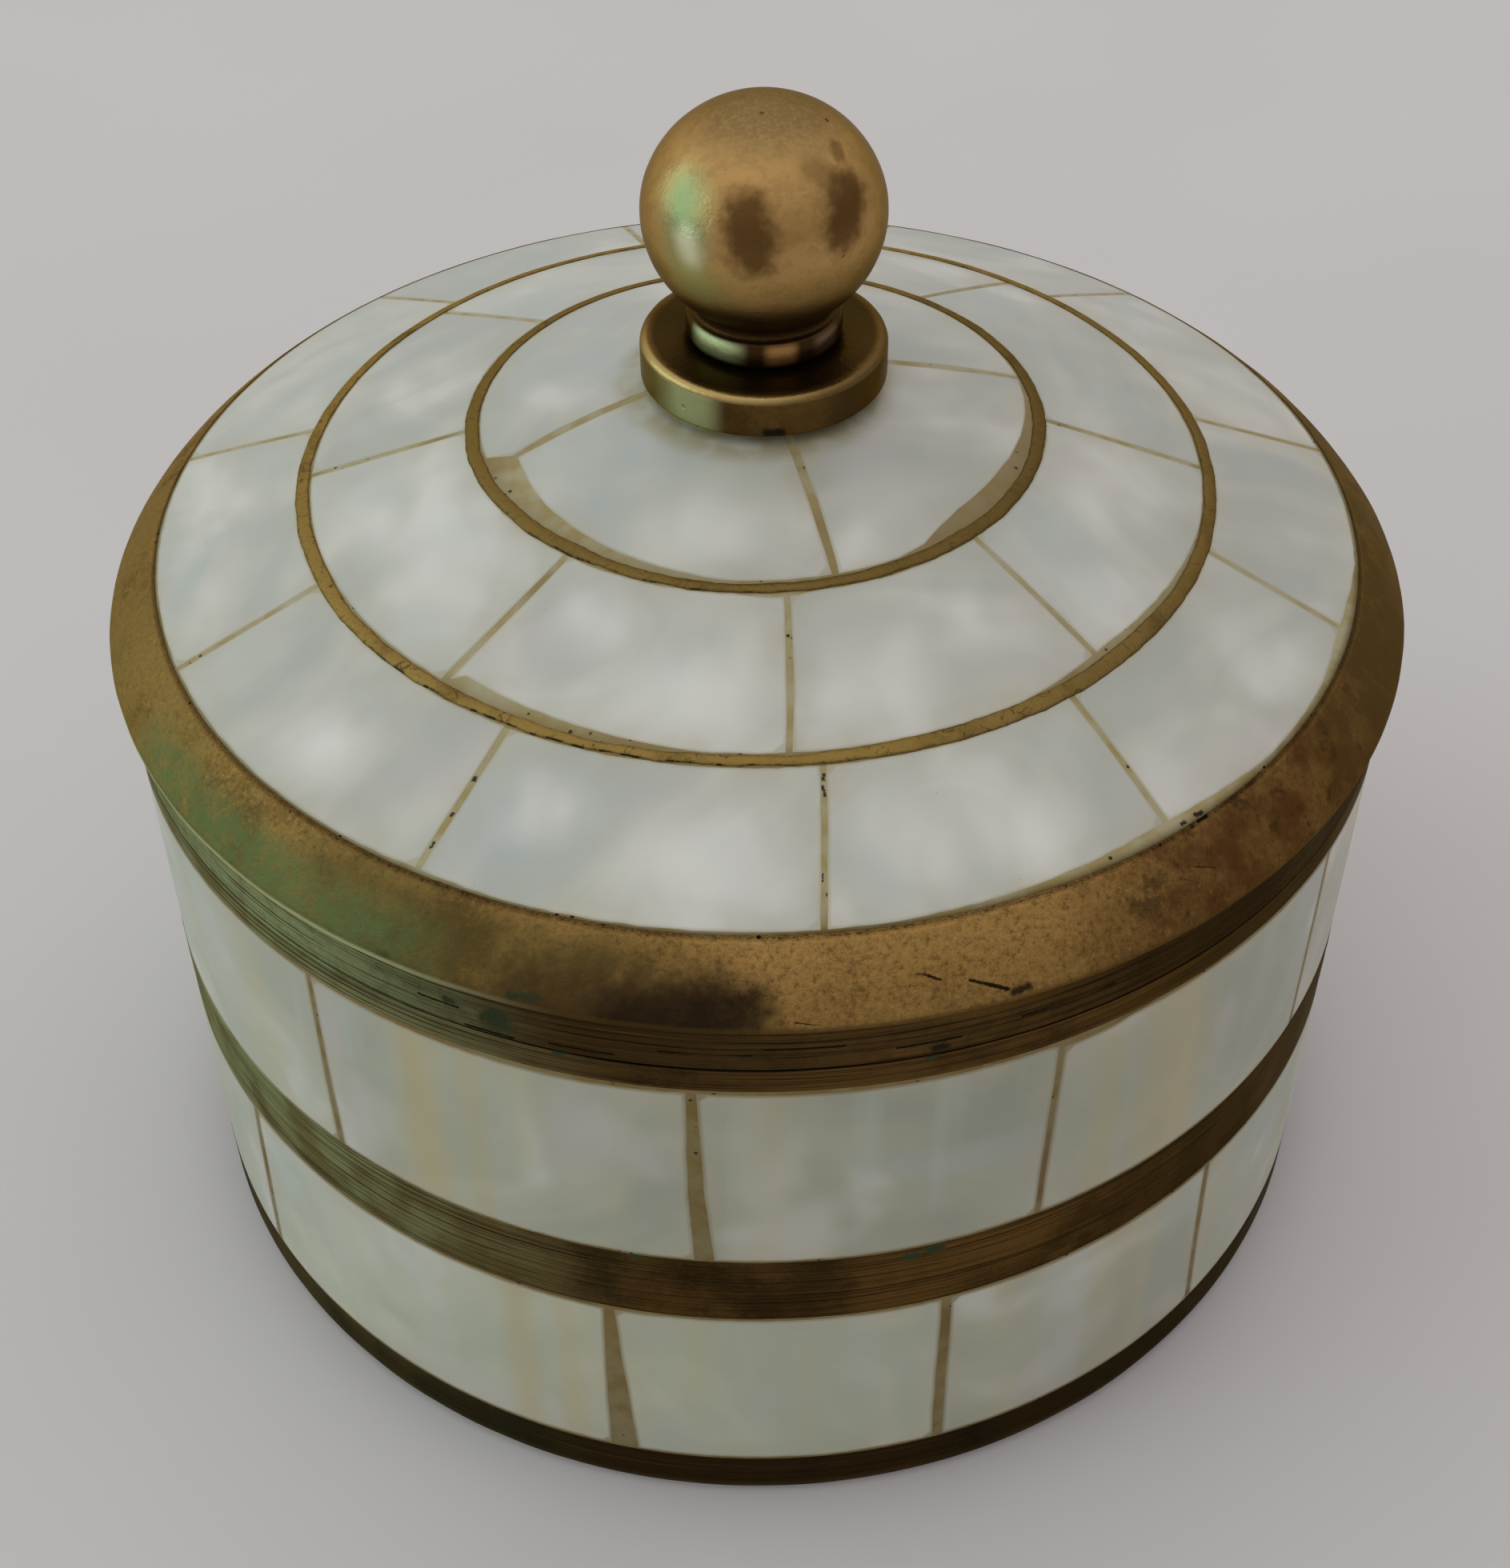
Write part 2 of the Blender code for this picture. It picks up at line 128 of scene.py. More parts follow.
class Graph:
    """A material's nodes. Every method adds nodes and gives back the socket with their result."""

    def __init__(self, name):
        self.material = bpy.data.materials.new(name)
        self.material.use_nodes = True
        self.tree = self.material.node_tree
        self.shader = self.tree.nodes["Principled BSDF"]
        coords = self.tree.nodes.new("ShaderNodeTexCoord").outputs["Object"]
        self.place = self.vector("SCALE", coords, scale=1 / MM)

    def put(self, socket, value):
        if isinstance(value, bpy.types.NodeSocket):
            self.tree.links.new(value, socket)
        elif value is not None:
            colour = socket.type == "RGBA" and len(value) == 3
            socket.default_value = (*value, 1.0) if colour else value

    def node(self, kind, inputs, output=0, **settings):
        node = self.tree.nodes.new("ShaderNode" + kind)
        for name, value in settings.items():
            setattr(node, name, value)
        for slot, value in inputs.items():
            self.put(node.inputs[slot], value)
        return node.outputs[output]

    def vector(self, operation, a, b=None, c=None, scale=None):
        given = {0: a, 1: b, 2: c, 3: scale}
        output = 1 if operation in ("DISTANCE", "LENGTH", "DOT_PRODUCT") else 0
        inputs = {slot: value for slot, value in given.items() if value is not None}
        return self.node("VectorMath", inputs, output, operation=operation)

    def math(self, operation, a, b=None, c=None, clamp=False):
        given = {0: a, 1: b, 2: c}
        inputs = {slot: value for slot, value in given.items() if value is not None}
        return self.node("Math", inputs, operation=operation, use_clamp=clamp)

    def stretched(self, factors):
        """The place, scaled differently along X, Y and Z."""
        return self.vector("MULTIPLY", self.place, factors)

    def noise(self, scale, detail=2.0, vector=None, roughness=0.5, distortion=0.0, output=0):
        inputs = {"Vector": vector or self.place, "Scale": scale, "Detail": detail}
        inputs.update({"Roughness": roughness, "Distortion": distortion})
        return self.node("TexNoise", inputs, output)

    def step(self, value, low, high, bottom=0.0, top=1.0):
        """A soft step: bottom below low, top above high. low may be the larger."""
        inputs = {0: value, 1: low, 2: high, 3: bottom, 4: top}
        return self.node("MapRange", inputs, interpolation_type="SMOOTHSTEP")

    def blend(self, share, a, b, kind="MIX"):
        inputs = {0: share, 6: a, 7: b}
        return self.node("Mix", inputs, 2, data_type="RGBA", blend_type=kind)

    def both(self, a, b):
        return self.math("MULTIPLY", a, b)

    def height(self):
        return self.node("SeparateXYZ", {0: self.place}, 2)

    def level(self, centre=0.0):
        """The place seen from straight above, from an axis at centre millimetres along X."""
        return self.vector("MULTIPLY", self.vector("SUBTRACT", self.place, (centre, 0, 0)), (1, 1, 0))

    def radius(self, centre=0.0):
        return self.vector("LENGTH", self.level(centre))

    def aside(self, angle):
        """How far round to the right of this angle the place is, in millimetres, near the angle."""
        turn = math.radians(angle)
        return self.vector("DOT_PRODUCT", self.place, (math.cos(turn), math.sin(turn), 0))

    def facing(self, angle, centre=0.0):
        """From -1 behind to 1 at this angle, round an axis at centre millimetres along X."""
        turn = math.radians(angle)
        flat = self.vector("NORMALIZE", self.level(centre))
        return self.vector("DOT_PRODUCT", flat, (math.sin(turn), -math.cos(turn), 0))

    def stroke(self, start, end, width, ragged=0.0, hard=0.4):
        """A mark along the line from start to end, in metres: 1 on it, 0 beyond its width in millimetres."""
        first, last = start / MM, end / MM
        line = last - first
        along = self.vector("DOT_PRODUCT", self.vector("SUBTRACT", self.place, first), line)
        share = self.math("MULTIPLY", along, 1 / max(line.length_squared, 1e-6), clamp=True)
        nearest = self.vector("MULTIPLY_ADD", line, share, first)
        away = self.vector("DISTANCE", self.place, nearest)
        if ragged:
            edge = self.noise(2.2 / width**0.5, 3.0)
            away = self.math("MULTIPLY_ADD", self.math("SUBTRACT", edge, 0.5), ragged * width, away)
        return self.step(away, width, width * hard)

    def strongest(self, marks):
        result = marks[0]
        for mark in marks[1:]:
            result = self.math("MAXIMUM", result, mark)
        return result

    def finish(self, colour, roughness, bumps=(), metallic=0.0, **plain):
        """Sets the shader. bumps are (height, distance in millimetres) pairs, coarse first."""
        self.put(self.shader.inputs["Base Color"], colour)
        self.put(self.shader.inputs["Roughness"], roughness)
        self.put(self.shader.inputs["Metallic"], metallic)
        for name, value in plain.items():
            self.put(self.shader.inputs[name.replace("_", " ")], value)
        normal = None
        for height, distance in bumps:
            inputs = {"Strength": 1.0, "Distance": distance * MM, "Height": height}
            if normal is not None:
                inputs["Normal"] = normal
            normal = self.node("Bump", inputs)
        if normal is not None:
            self.put(self.shader.inputs["Normal"], normal)
        return self.material


def shell_material(name, seed, cream=0.0, warm=(), centre=None, sheen=(), smear=None, tone=1.0):
    """Mother-of-pearl: soft pale clouds and faint growth bands, warmer where the tile thins at its edges."""
    chance = random.Random(seed)
    g = Graph(name)
    if centre is None:
        turn, away = chance.uniform(0, math.tau), chance.uniform(20, 60)
        centre = (away * math.cos(turn), away * math.sin(turn), chance.uniform(20, 50))
    drift = g.vector("ADD", g.place, tuple(chance.uniform(-300, 300) for _ in range(3)))
    warp = g.vector("SUBTRACT", g.noise(0.10, 1.0, drift, output=1), (0.5, 0.5, 0.5))
    bent = g.vector("MULTIPLY_ADD", warp, (6.0, 6.0, 6.0), g.place)
    ringed = g.math("MULTIPLY", g.vector("DISTANCE", bent, centre), 0.30)
    ringed = g.vector("MULTIPLY_ADD", drift, (0.05, 0.05, 0.05), g.node("CombineXYZ", {0: ringed}))
    bands = g.noise(1.0, 4.0, ringed, roughness=0.55)
    clouds = g.noise(0.12, 2.0, drift, roughness=0.6, distortion=0.3)
    hues = g.noise(0.10, 2.0, g.vector("ADD", drift, (90.0, 0, 0)), distortion=0.4)
    mixed = g.math("MULTIPLY_ADD", clouds, 0.6, g.math("MULTIPLY", bands, 0.4))
    tone *= 1 + chance.uniform(-0.05, 0.05)
    grey = mix(Vector((0.435, 0.465, 0.425)), Vector((0.375, 0.41, 0.300)), cream) * tone
    white = mix(Vector((0.560, 0.565, 0.500)), Vector((0.47, 0.49, 0.355)), cream) * tone
    colour = g.blend(g.step(mixed, 0.38, 0.62), tuple(grey), tuple(white))
    colour = g.blend(g.step(hues, 0.55, 0.72, top=0.5), colour, (0.57, 0.53, 0.53))
    colour = g.blend(g.step(hues, 0.46, 0.28, top=0.5), colour, (0.43, 0.49, 0.49))
    lustre = g.both(g.step(clouds, 0.54, 0.70), g.step(bands, 0.36, 0.60, 0.4, 1.0))
    colour = g.blend(g.math("MULTIPLY", lustre, 0.6), colour, (0.70, 0.71, 0.69))
    if cream:
        streaks = g.noise(1.0, 3.0, g.vector("MULTIPLY", drift, (0.30, 0.30, 0.035)))
        colour = g.blend(g.step(streaks, 0.53, 0.72, top=0.45), colour, (0.52, 0.48, 0.31))
        colour = g.blend(g.step(streaks, 0.46, 0.30, top=0.45), colour, (0.48, 0.53, 0.48))
    for angle, width, strength in warm:
        across = g.math("ABSOLUTE", g.aside(angle))
        mark = g.step(across, width, 0.0, top=strength)
        colour = g.blend(g.both(mark, g.step(bands, 0.3, 0.6, 0.5, 1.0)), colour, (0.50, 0.43, 0.22))
    inward = g.node("Attribute", {}, 2, attribute_name="inward")
    for place, size in sheen:
        glow = g.stroke(place, place + Vector((0.8 * MM, 0, 0)), size * 1.35, 0.0, 0.0)
        silk = g.noise(1.0, 1.0, g.vector("MULTIPLY", drift, (0.34, 0.16, 0.25)))
        colour = g.blend(g.both(glow, g.step(silk, 0.25, 0.75, 0.15, 0.95)), colour, (0.73, 0.74, 0.695))
    thin = g.both(g.step(inward, 1.9, 0.0), g.step(g.noise(0.35, 2.0, drift), 0.40, 0.70, 0.10, 0.50))
    colour = g.blend(thin, colour, (0.47, 0.425, 0.31))
    dirty = g.both(g.step(inward, 0.20 + 0.1 * cream, 0.02, top=0.55 + 0.4 * cream), g.step(bands, 0.3, 0.6, 0.5, 1.0))
    colour = g.blend(dirty, colour, tuple(mix(Vector((0.34, 0.29, 0.15)), Vector((0.20, 0.145, 0.05)), cream)))
    if smear:
        stuck = g.both(g.step(g.radius(), smear + 1.3, smear), g.step(g.noise(0.6, 2.0), 0.3, 0.55, 0.35, 1.0))
        colour = g.blend(g.math("MULTIPLY", stuck, 0.8), colour, (0.33, 0.29, 0.155))
    specks = g.step(g.noise(4.5, 1.0, drift), 0.80, 0.84, top=0.5)
    colour = g.blend(specks, colour, (0.30, 0.27, 0.18))
    roughness = g.step(lustre, 0.0, 1.0, 0.34, 0.26)
    bumps = [(clouds, 0.35), (bands, 0.05), (g.noise(1.2, 2.0, drift), 0.004)]
    return g.finish(colour, roughness, bumps, Specular_IOR_Level=0.6)


# Resin where it is dull, clear, brown and pale
RESIN_TONES = ((0.40, 0.36, 0.215), (0.345, 0.275, 0.11), (0.24, 0.16, 0.045), (0.43, 0.41, 0.28))


def resin_material(name, tint=(1.0, 1.0, 1.0), shade_by_brass=(), holes=(), aged=None):
    """Amber filled resin, cloudy, with pits that have taken up black dirt, and painted shade turning it brown inside
    some radii.
    """
    tinted = [tuple(a * b for a, b in zip(colour, tint)) for colour in RESIN_TONES]
    dull, clear, brown, pale = tinted
    g = Graph(name)
    clouds, patches = g.noise(0.9, 3.0), g.noise(0.16, 2.0)
    colour = g.blend(g.step(clouds, 0.35, 0.65), dull, clear)
    colour = g.blend(g.step(patches, 0.54, 0.68, top=0.7), colour, brown)
    colour = g.blend(g.step(patches, 0.46, 0.34, top=0.6), colour, pale)
    # Painted shade: the resin turns brown just inside each of these radii, where the brass beside it shades it, a
    # little more on the right.
    for radius, reach, strength in shade_by_brass:
        near = g.step(g.radius(), radius - reach, radius, top=strength)
        beyond = g.step(g.radius(), radius + 0.4, radius + 0.3)
        near = g.both(near, g.step(g.facing(60), 0.30, 0.95, 0.8, 1.0))
        colour = g.blend(g.both(near, beyond), colour, (0.20, 0.14, 0.045))
    if aged:
        angle, radius = aged
        side = g.both(g.step(g.facing(angle), 0.80, 0.95, top=0.75), g.step(g.radius(), radius + 0.5, radius))
        colour = g.blend(side, colour, (0.23, 0.165, 0.062))
    pits = g.node("TexVoronoi", {"Vector": g.place, "Scale": 1.9}, 0)
    where = g.step(g.noise(0.3, 1.0), 0.54, 0.58)
    pit = g.both(g.step(pits, 0.20, 0.12), where)
    for start, end, width in holes:
        pit = g.math("MAXIMUM", pit, g.stroke(start, end, width, 2.2))
    colour = g.blend(pit, colour, (0.02, 0.017, 0.01))
    dip = g.math("SUBTRACT", g.math("MULTIPLY", clouds, 0.3), pit)
    return g.finish(colour, g.step(clouds, 0.3, 0.7, 0.36, 0.55), [(dip, 0.05)], Specular_IOR_Level=0.3)


BRONZE = (0.25, 0.152, 0.045)
GOLD = (0.43, 0.255, 0.08)
BROWN = (0.10, 0.053, 0.016)
SOOT = (0.035, 0.024, 0.012)
PATINA = (0.15, 0.165, 0.058)
VERDIGRIS = (0.075, 0.090, 0.045)
# Pale green patina, made paler still as painted light from the window on the left
LIT_PALE_PATINA = (0.33, 0.39, 0.20)
# Tarnished brass stays brown even where it is seen almost edge on
EDGE_TINT = (0.66, 0.55, 0.38)


class Brass(Graph):
    """Aged brass: bronze and brown blotches, and grain. Marks are laid on it before it's finished."""

    def __init__(self, name, light=BRONZE, dark=BROWN, blotch=0.22, bias=0.5, seed=0.0):
        super().__init__(name)
        self.shifted = self.vector("ADD", self.place, (seed, seed * 0.7, seed * 1.3))
        self.grain = self.noise(4.2, 3.0, roughness=0.65)
        self.blotches = self.noise(blotch, 4.0, self.shifted, roughness=0.6)
        flecked = self.math("MULTIPLY_ADD", self.grain, 0.25, self.blotches)
        self.colour = self.blend(self.step(flecked, bias + 0.02, bias + 0.25), dark, light)
        self.dull = self.step(self.blotches, 0.35, 0.7, 0.1, 0.0)
        self.bumps = []

    def mark(self, mask, colour, dull=None):
        """Lays a colour where the mask is 1, and takes the metal's shine there if dull is given."""
        self.colour = self.blend(mask, self.colour, colour)
        if dull is not None:
            self.dull = self.math("MULTIPLY_ADD", mask, dull, self.dull)

    def lathe_lines(self, strength):
        """Fine lines left by turning: level, and slowly changing on the way round."""
        lines = self.noise(1.0, 4.0, self.stretched((0.06, 0.06, 9.0)), roughness=0.75)
        dark = self.step(lines, 0.52, 0.40, top=strength)
        self.mark(dark, (0.018, 0.013, 0.008))
        self.mark(self.step(lines, 0.58, 0.68, top=strength * 0.4), (0.20, 0.118, 0.04))
        self.bumps.append((lines, 0.05 * strength))

    def verdigris(self, spots):
        """Green copper salts, ragged and matt, each at (point, radius in millimetres)."""
        for point, size in spots:
            spot = self.stroke(point, point + Vector((0.3 * MM, 0, 0)), size, 1.2)
            self.mark(spot, VERDIGRIS, 0.4)

    def done(self, roughness, metallic=0.92):
        worn = self.math("ADD", self.dull, roughness, clamp=True)
        self.bumps.append((self.grain, 0.02))
        return self.finish(self.colour, worn, self.bumps, metallic=metallic, Specular_Tint=EDGE_TINT)


def on_rim(angle, height):
    """A point on the rim's bevel at this height above the lid's seat, in millimetres."""
    share = (height * MM + LID_SEAT - WIDEST) / (DOME_EDGE - WIDEST)
    bulge = 0.25 * MM * 4 * share * (1 - share)
    return polar(angle, mix(RIM_WIDEST, RIM_INNER, share) + bulge * 0.7, LID_SEAT + height * MM + bulge * 0.7)


def on_skirt(angle, rise):
    """A point on the turned skirt, this many millimetres above its lower edge."""
    return polar(angle, BODY_RADIUS, LID_SEAT + rise * MM)


def on_disc(angle, rise):
    """A point on the knob disc's edge, this many millimetres above its underside."""
    return polar(angle, DISC_RADIUS, DISC_BOTTOM + rise * MM) + Vector((KNOB_X, 0, 0))


def on_ball(angle, rise):
    """A point on the ball, at an angle round it and this many degrees above its middle."""
    level = math.radians(rise)
    spot = polar(angle, BALL_RADIUS * math.cos(level), BALL_CENTRE + BALL_HALF_HEIGHT * math.sin(level))
    return spot + Vector((KNOB_X, 0, 0))


def on_body(angle, height):
    return polar(angle, BODY_RADIUS, height * MM)


# Scratches across the bevel: angle and height at each end, and width
RIM_SCRATCHES = (
    (17.4, 3.80, 18.4, 3.62, 0.10),
    (18.4, 3.62, 20.2, 3.28, 0.11),
    (13.4, 4.25, 14.0, 4.22, 0.07),
    (14.0, 4.22, 15.2, 3.98, 0.09),
    (11.6, 4.00, 13.2, 3.92, 0.05),
    (8.0, 3.95, 9.6, 3.80, 0.045),
    (9.6, 3.80, 11.6, 4.00, 0.04),
    (38.4, 4.60, 40.4, 4.20, 0.07),
    (36.8, 4.50, 38.2, 4.10, 0.06),
    (4.2, 3.20, 6.6, 3.02, 0.05),
    (-31.0, 3.9, -30.2, 3.6, 0.06),
)
# Short black marks along the skirt: angle at each end and height above its lower edge
SKIRT_DASHES = (
    (-25.5, -22.0, 1.05),
    (-21.5, -17.5, 0.12),
    (-14.5, -9.5, 0.35),
    (-6.0, 1.0, 0.9),
    (2.0, 8.0, 1.25),
    (12.0, 17.0, 0.75),
    (22.0, 30.0, 1.05),
)


def rim_material():
    """The lid's rim: a grainy bevel, stained and scratched, with a green bloom, over a turned skirt. Painted light
    makes it lighter on the left and painted shade darker on the right, and a painted highlight runs along its widest
    edge.
    """
    g = Brass("rim_brass", blotch=0.3, bias=0.40)
    sand = g.noise(3.4, 4.0, roughness=0.8)
    g.bumps.append((sand, 0.07))
    g.mark(g.step(sand, 0.55, 0.66, top=0.75), GOLD)
    g.mark(g.step(sand, 0.46, 0.35, top=0.75), BROWN)
    height = g.height()
    skirt = g.step(height, WIDEST / MM - 0.25, WIDEST / MM - 0.35)
    ragged = g.noise(0.45, 4.0, roughness=0.65)
    pale = g.both(g.step(g.facing(9), 0.82, 0.96, 0.25, 1.0), g.step(height, WIDEST / MM, DOME_EDGE / MM, 0.55, 1.0))
    g.mark(g.both(pale, g.step(sand, 0.35, 0.62, 0.25, 0.95)), GOLD)
    # Painted light: the bevel is lighter on the left, towards the window.
    g.mark(g.both(g.step(g.facing(-75), 0.90, 0.98), g.step(ragged, 0.35, 0.6, 0.2, 0.6)), (0.26, 0.175, 0.058))
    # Painted shade: the bevel is darker and ruddier on the right.
    ruddy = g.both(g.step(g.facing(57), 0.83, 0.97), g.step(ragged, 0.35, 0.62, 0.45, 0.95))
    g.mark(ruddy, (0.105, 0.045, 0.014))
    flecks = g.noise(0.8, 3.0, roughness=0.6)
    g.mark(g.both(g.step(g.facing(50), 0.92, 0.99), g.step(flecks, 0.52, 0.68, top=0.5)), (0.19, 0.085, 0.030))
    g.mark(g.both(g.step(g.facing(55), 0.85, 0.97), g.step(flecks, 0.46, 0.34, top=0.65)), (0.045, 0.025, 0.010))
    g.mark(g.both(g.step(g.facing(88), 0.80, 0.97), g.step(ragged, 0.3, 0.6, 0.5, 0.9)), (0.115, 0.074, 0.026))
    olive = g.both(g.step(g.facing(-20), 0.925, 0.99), g.step(height, DOME_EDGE / MM, DOME_EDGE / MM - 0.9, 0.4, 1.0))
    g.mark(g.both(olive, g.step(ragged, 0.3, 0.62, 0.55, 0.95)), (0.115, 0.078, 0.024), 0.08)
    mottled = g.noise(1.3, 4.0, roughness=0.7)
    bloom = g.both(g.step(g.facing(-42), 0.93, 0.975), g.step(ragged, 0.26, 0.54, 0.6, 1.0))
    bloom = g.both(bloom, g.step(mottled, 0.34, 0.60, 0.45, 1.0))
    low = g.step(height, DOME_EDGE / MM - 0.5, WIDEST / MM + 1.3, 0.08, 1.0)
    g.mark(g.both(bloom, low), (0.155, 0.19, 0.070), 0.12)
    g.mark(g.stroke(on_rim(-15.0, 3.0), on_rim(-3.0, 3.5), 2.6, 1.3, 0.0), (0.085, 0.050, 0.018))
    dark_patch = g.stroke(on_rim(-8.0, 3.0), on_rim(0.3, 3.5), 2.0, 0.6, 0.25)
    g.mark(g.both(dark_patch, g.step(mottled, 0.3, 0.6, 0.80, 0.95)), (0.030, 0.018, 0.009), 0.05)
    edge_stain = g.stroke(on_rim(-28.0, 2.95), on_rim(44.0, 2.95), 0.5, 0.6, 0.1)
    g.mark(g.both(edge_stain, g.step(ragged, 0.42, 0.6, 0.1, 0.7)), (0.09, 0.052, 0.02))
    g.mark(g.stroke(on_rim(20.6, 3.15), on_rim(21.8, 3.2), 0.30, 0.9, 0.2), (0.045, 0.026, 0.012), 0.1)
    g.mark(g.stroke(on_rim(-17.0, 3.2), on_rim(-15.0, 3.25), 0.35, 1.8, 0.0), (0.055, 0.065, 0.028), 0.15)
    lines = g.noise(1.0, 5.0, g.stretched((0.05, 0.05, 8.0)), roughness=0.8)
    g.mark(g.both(skirt, g.step(g.blotches, 0.3, 0.6, 0.97, 0.88)), (0.060, 0.034, 0.013))
    g.mark(g.both(skirt, g.step(lines, 0.57, 0.66, top=0.6)), (0.19, 0.108, 0.032))
    g.mark(g.both(skirt, g.both(g.step(g.facing(24), 0.93, 0.99), g.step(ragged, 0.4, 0.6, 0.3, 0.9))), (0.15, 0.085, 0.027))
    # Painted shade on the skirt's right side.
    g.mark(g.both(skirt, g.step(g.facing(60), 0.72, 0.95, top=0.8)), (0.026, 0.017, 0.009))
    # Pale green patina on the skirt's left, brightened as painted light from the window.
    left = g.both(skirt, g.step(g.facing(-64), 0.62, 0.93, 0.0, 0.92))
    g.mark(g.both(left, g.step(mottled, 0.30, 0.58, 0.6, 1.0)), LIT_PALE_PATINA, 0.05)
    g.mark(g.both(skirt, g.step(lines, 0.50, 0.40, top=0.85)), (0.014, 0.010, 0.006))
    g.bumps.append((g.both(skirt, lines), 0.06))
    dashes = [
        g.stroke(on_skirt(first, rise), on_skirt(last, rise), 0.09, 1.0)
        for first, last, rise in SKIRT_DASHES
    ]
    g.mark(g.strongest(dashes), (0.012, 0.010, 0.007), 0.1)
    g.verdigris([(on_skirt(-19.0, 1.0), 0.85), (on_skirt(-23.0, 1.3), 0.25)])
    g.mark(g.stroke(on_skirt(15.0, 0.35), on_skirt(15.8, 0.35), 0.36, 0.9, 0.1), (0.030, 0.024, 0.015), 0.2)
    edge = g.both(
        g.step(height, WIDEST / MM - 0.42, WIDEST / MM - 0.22),
        g.step(height, WIDEST / MM + 0.22, WIDEST / MM - 0.02),
    )
    g.mark(g.both(edge, g.step(g.facing(25), 0.3, 0.8, top=0.6)), (0.115, 0.065, 0.022))
    # Painted highlight: a pale green line along the widest edge on the left, which is also polished there.
    bright = g.step(g.facing(-56), 0.72, 0.95)
    g.mark(g.both(edge, bright), (0.56, 0.60, 0.34), -0.12)
    scratches = [
        g.stroke(on_rim(first, low), on_rim(last, high), width, 0.9)
        for first, low, last, high, width in RIM_SCRATCHES
    ]
    cut = g.strongest(scratches)
    g.mark(cut, (0.015, 0.011, 0.007))
    g.bumps.append((g.math("SUBTRACT", 1.0, cut), 0.08))
    pits = g.step(g.node("TexVoronoi", {"Vector": g.place, "Scale": 1.6}, 0), 0.18, 0.10)
    inner = g.step(g.radius(), RIM_INNER / MM + 0.32, RIM_INNER / MM + 0.12)
    g.mark(g.both(g.both(pits, inner), g.step(g.noise(0.35, 1.0), 0.46, 0.52)), (0.015, 0.012, 0.008))
    g.mark(g.stroke(on_rim(41.0, 5.72), on_rim(41.9, 5.72), 0.16, 0.8), (0.012, 0.010, 0.007), 0.2)
    return g.done(0.46)


def band_material(name, light, dark, bias, spots=(), green=0.6, seed=0.0):
    """A turned ring on the body: darker than the rim, with a pale green patina to the left brightened as painted
    light, and painted shade to the right.
    """
    g = Brass(name, light=light, dark=dark, blotch=0.14, bias=bias, seed=seed)
    golden = g.both(g.step(g.facing(24), 0.90, 0.985), g.step(g.blotches, 0.36, 0.60, 0.2, 1.0))
    g.mark(g.math("MULTIPLY", golden, green), tuple(Vector(light) * 1.5))
    # Painted shade on the ring's right side.
    shaded_right = g.step(g.facing(62), 0.80, 0.97, top=0.7)
    g.mark(shaded_right, tuple(Vector(dark) * 0.8))
    # Pale green patina on the ring's left, brightened as painted light from the window.
    left = g.both(g.step(g.facing(-64), 0.55, 0.95), g.step(g.noise(0.4, 3.0), 0.35, 0.6, 0.5, 1.0))
    g.mark(g.math("MULTIPLY", left, green), LIT_PALE_PATINA, 0.05)
    g.lathe_lines(0.8)
    g.verdigris(spots)
    return g.done(0.42)


def wire_material():
    """A brass strip, filed flat with the tiles: dull, scratched and dirty along its sides."""
    g = Brass("wire_brass", light=(0.32, 0.215, 0.062), dark=(0.18, 0.122, 0.036), blotch=0.3, bias=0.38)
    side = g.node("Attribute", {}, 2, attribute_name="across")
    dirt = g.noise(1.1, 3.0, roughness=0.7)
    worn_side = g.math("MULTIPLY_ADD", g.math("SUBTRACT", dirt, 0.5), 0.9, g.math("ABSOLUTE", side))
    g.mark(g.step(worn_side, 0.66, 1.05, top=0.7), (0.125, 0.085, 0.028), 0.1)
    outside = g.both(g.step(g.facing(-22), 0.86, 0.95), g.step(side, 0.72, 0.97))
    g.mark(g.both(outside, g.step(dirt, 0.50, 0.58)), (0.018, 0.013, 0.007), 0.1)
    filed = g.noise(1.6, 3.0, roughness=0.75, distortion=1.5)
    g.mark(g.step(filed, 0.56, 0.68, top=0.7), (0.08, 0.055, 0.022), 0.08)
    g.mark(g.step(g.facing(80), 0.3, 0.95, top=0.55), (0.13, 0.088, 0.032))
    inner = g.step(g.radius(), INNER_WIRE / MM + 2, INNER_WIRE / MM + 1, top=0.45)
    g.mark(inner, (0.115, 0.075, 0.024))
    g.bumps.append((filed, 0.06))
    return g.done(0.50)


def knob_brass(name, light, dark, bias):
    """Handled brass: smooth and golden, with brown tarnish in clouds and a few pits."""
    g = Brass(name, light=light, dark=dark, blotch=0.16, bias=bias, seed=31.0)
    g.mark(g.step(g.noise(1.4, 3.0, roughness=0.7), 0.52, 0.40, top=0.30), dark)
    pits = g.both(
        g.step(g.node("TexVoronoi", {"Vector": g.place, "Scale": 0.55}, 0), 0.075, 0.04),
        g.step(g.noise(0.3, 1.0), 0.45, 0.5),
    )
    g.mark(pits, (0.04, 0.025, 0.012), 0.2)
    g.bumps.append((g.noise(0.5, 2.0), 0.05))
    g.bumps.append((g.math("SUBTRACT", 1.0, pits), 0.06))
    return g


# Bright places round the neck: angle, where each fades and is full (cosines from its angle), colour
NECK_GLINTS = (
    (-38, 0.87, 0.992, (0.56, 0.66, 0.34)),
    (14, 0.965, 0.999, (0.46, 0.255, 0.09)),
    (54, 0.955, 0.998, (0.17, 0.115, 0.07)),
)


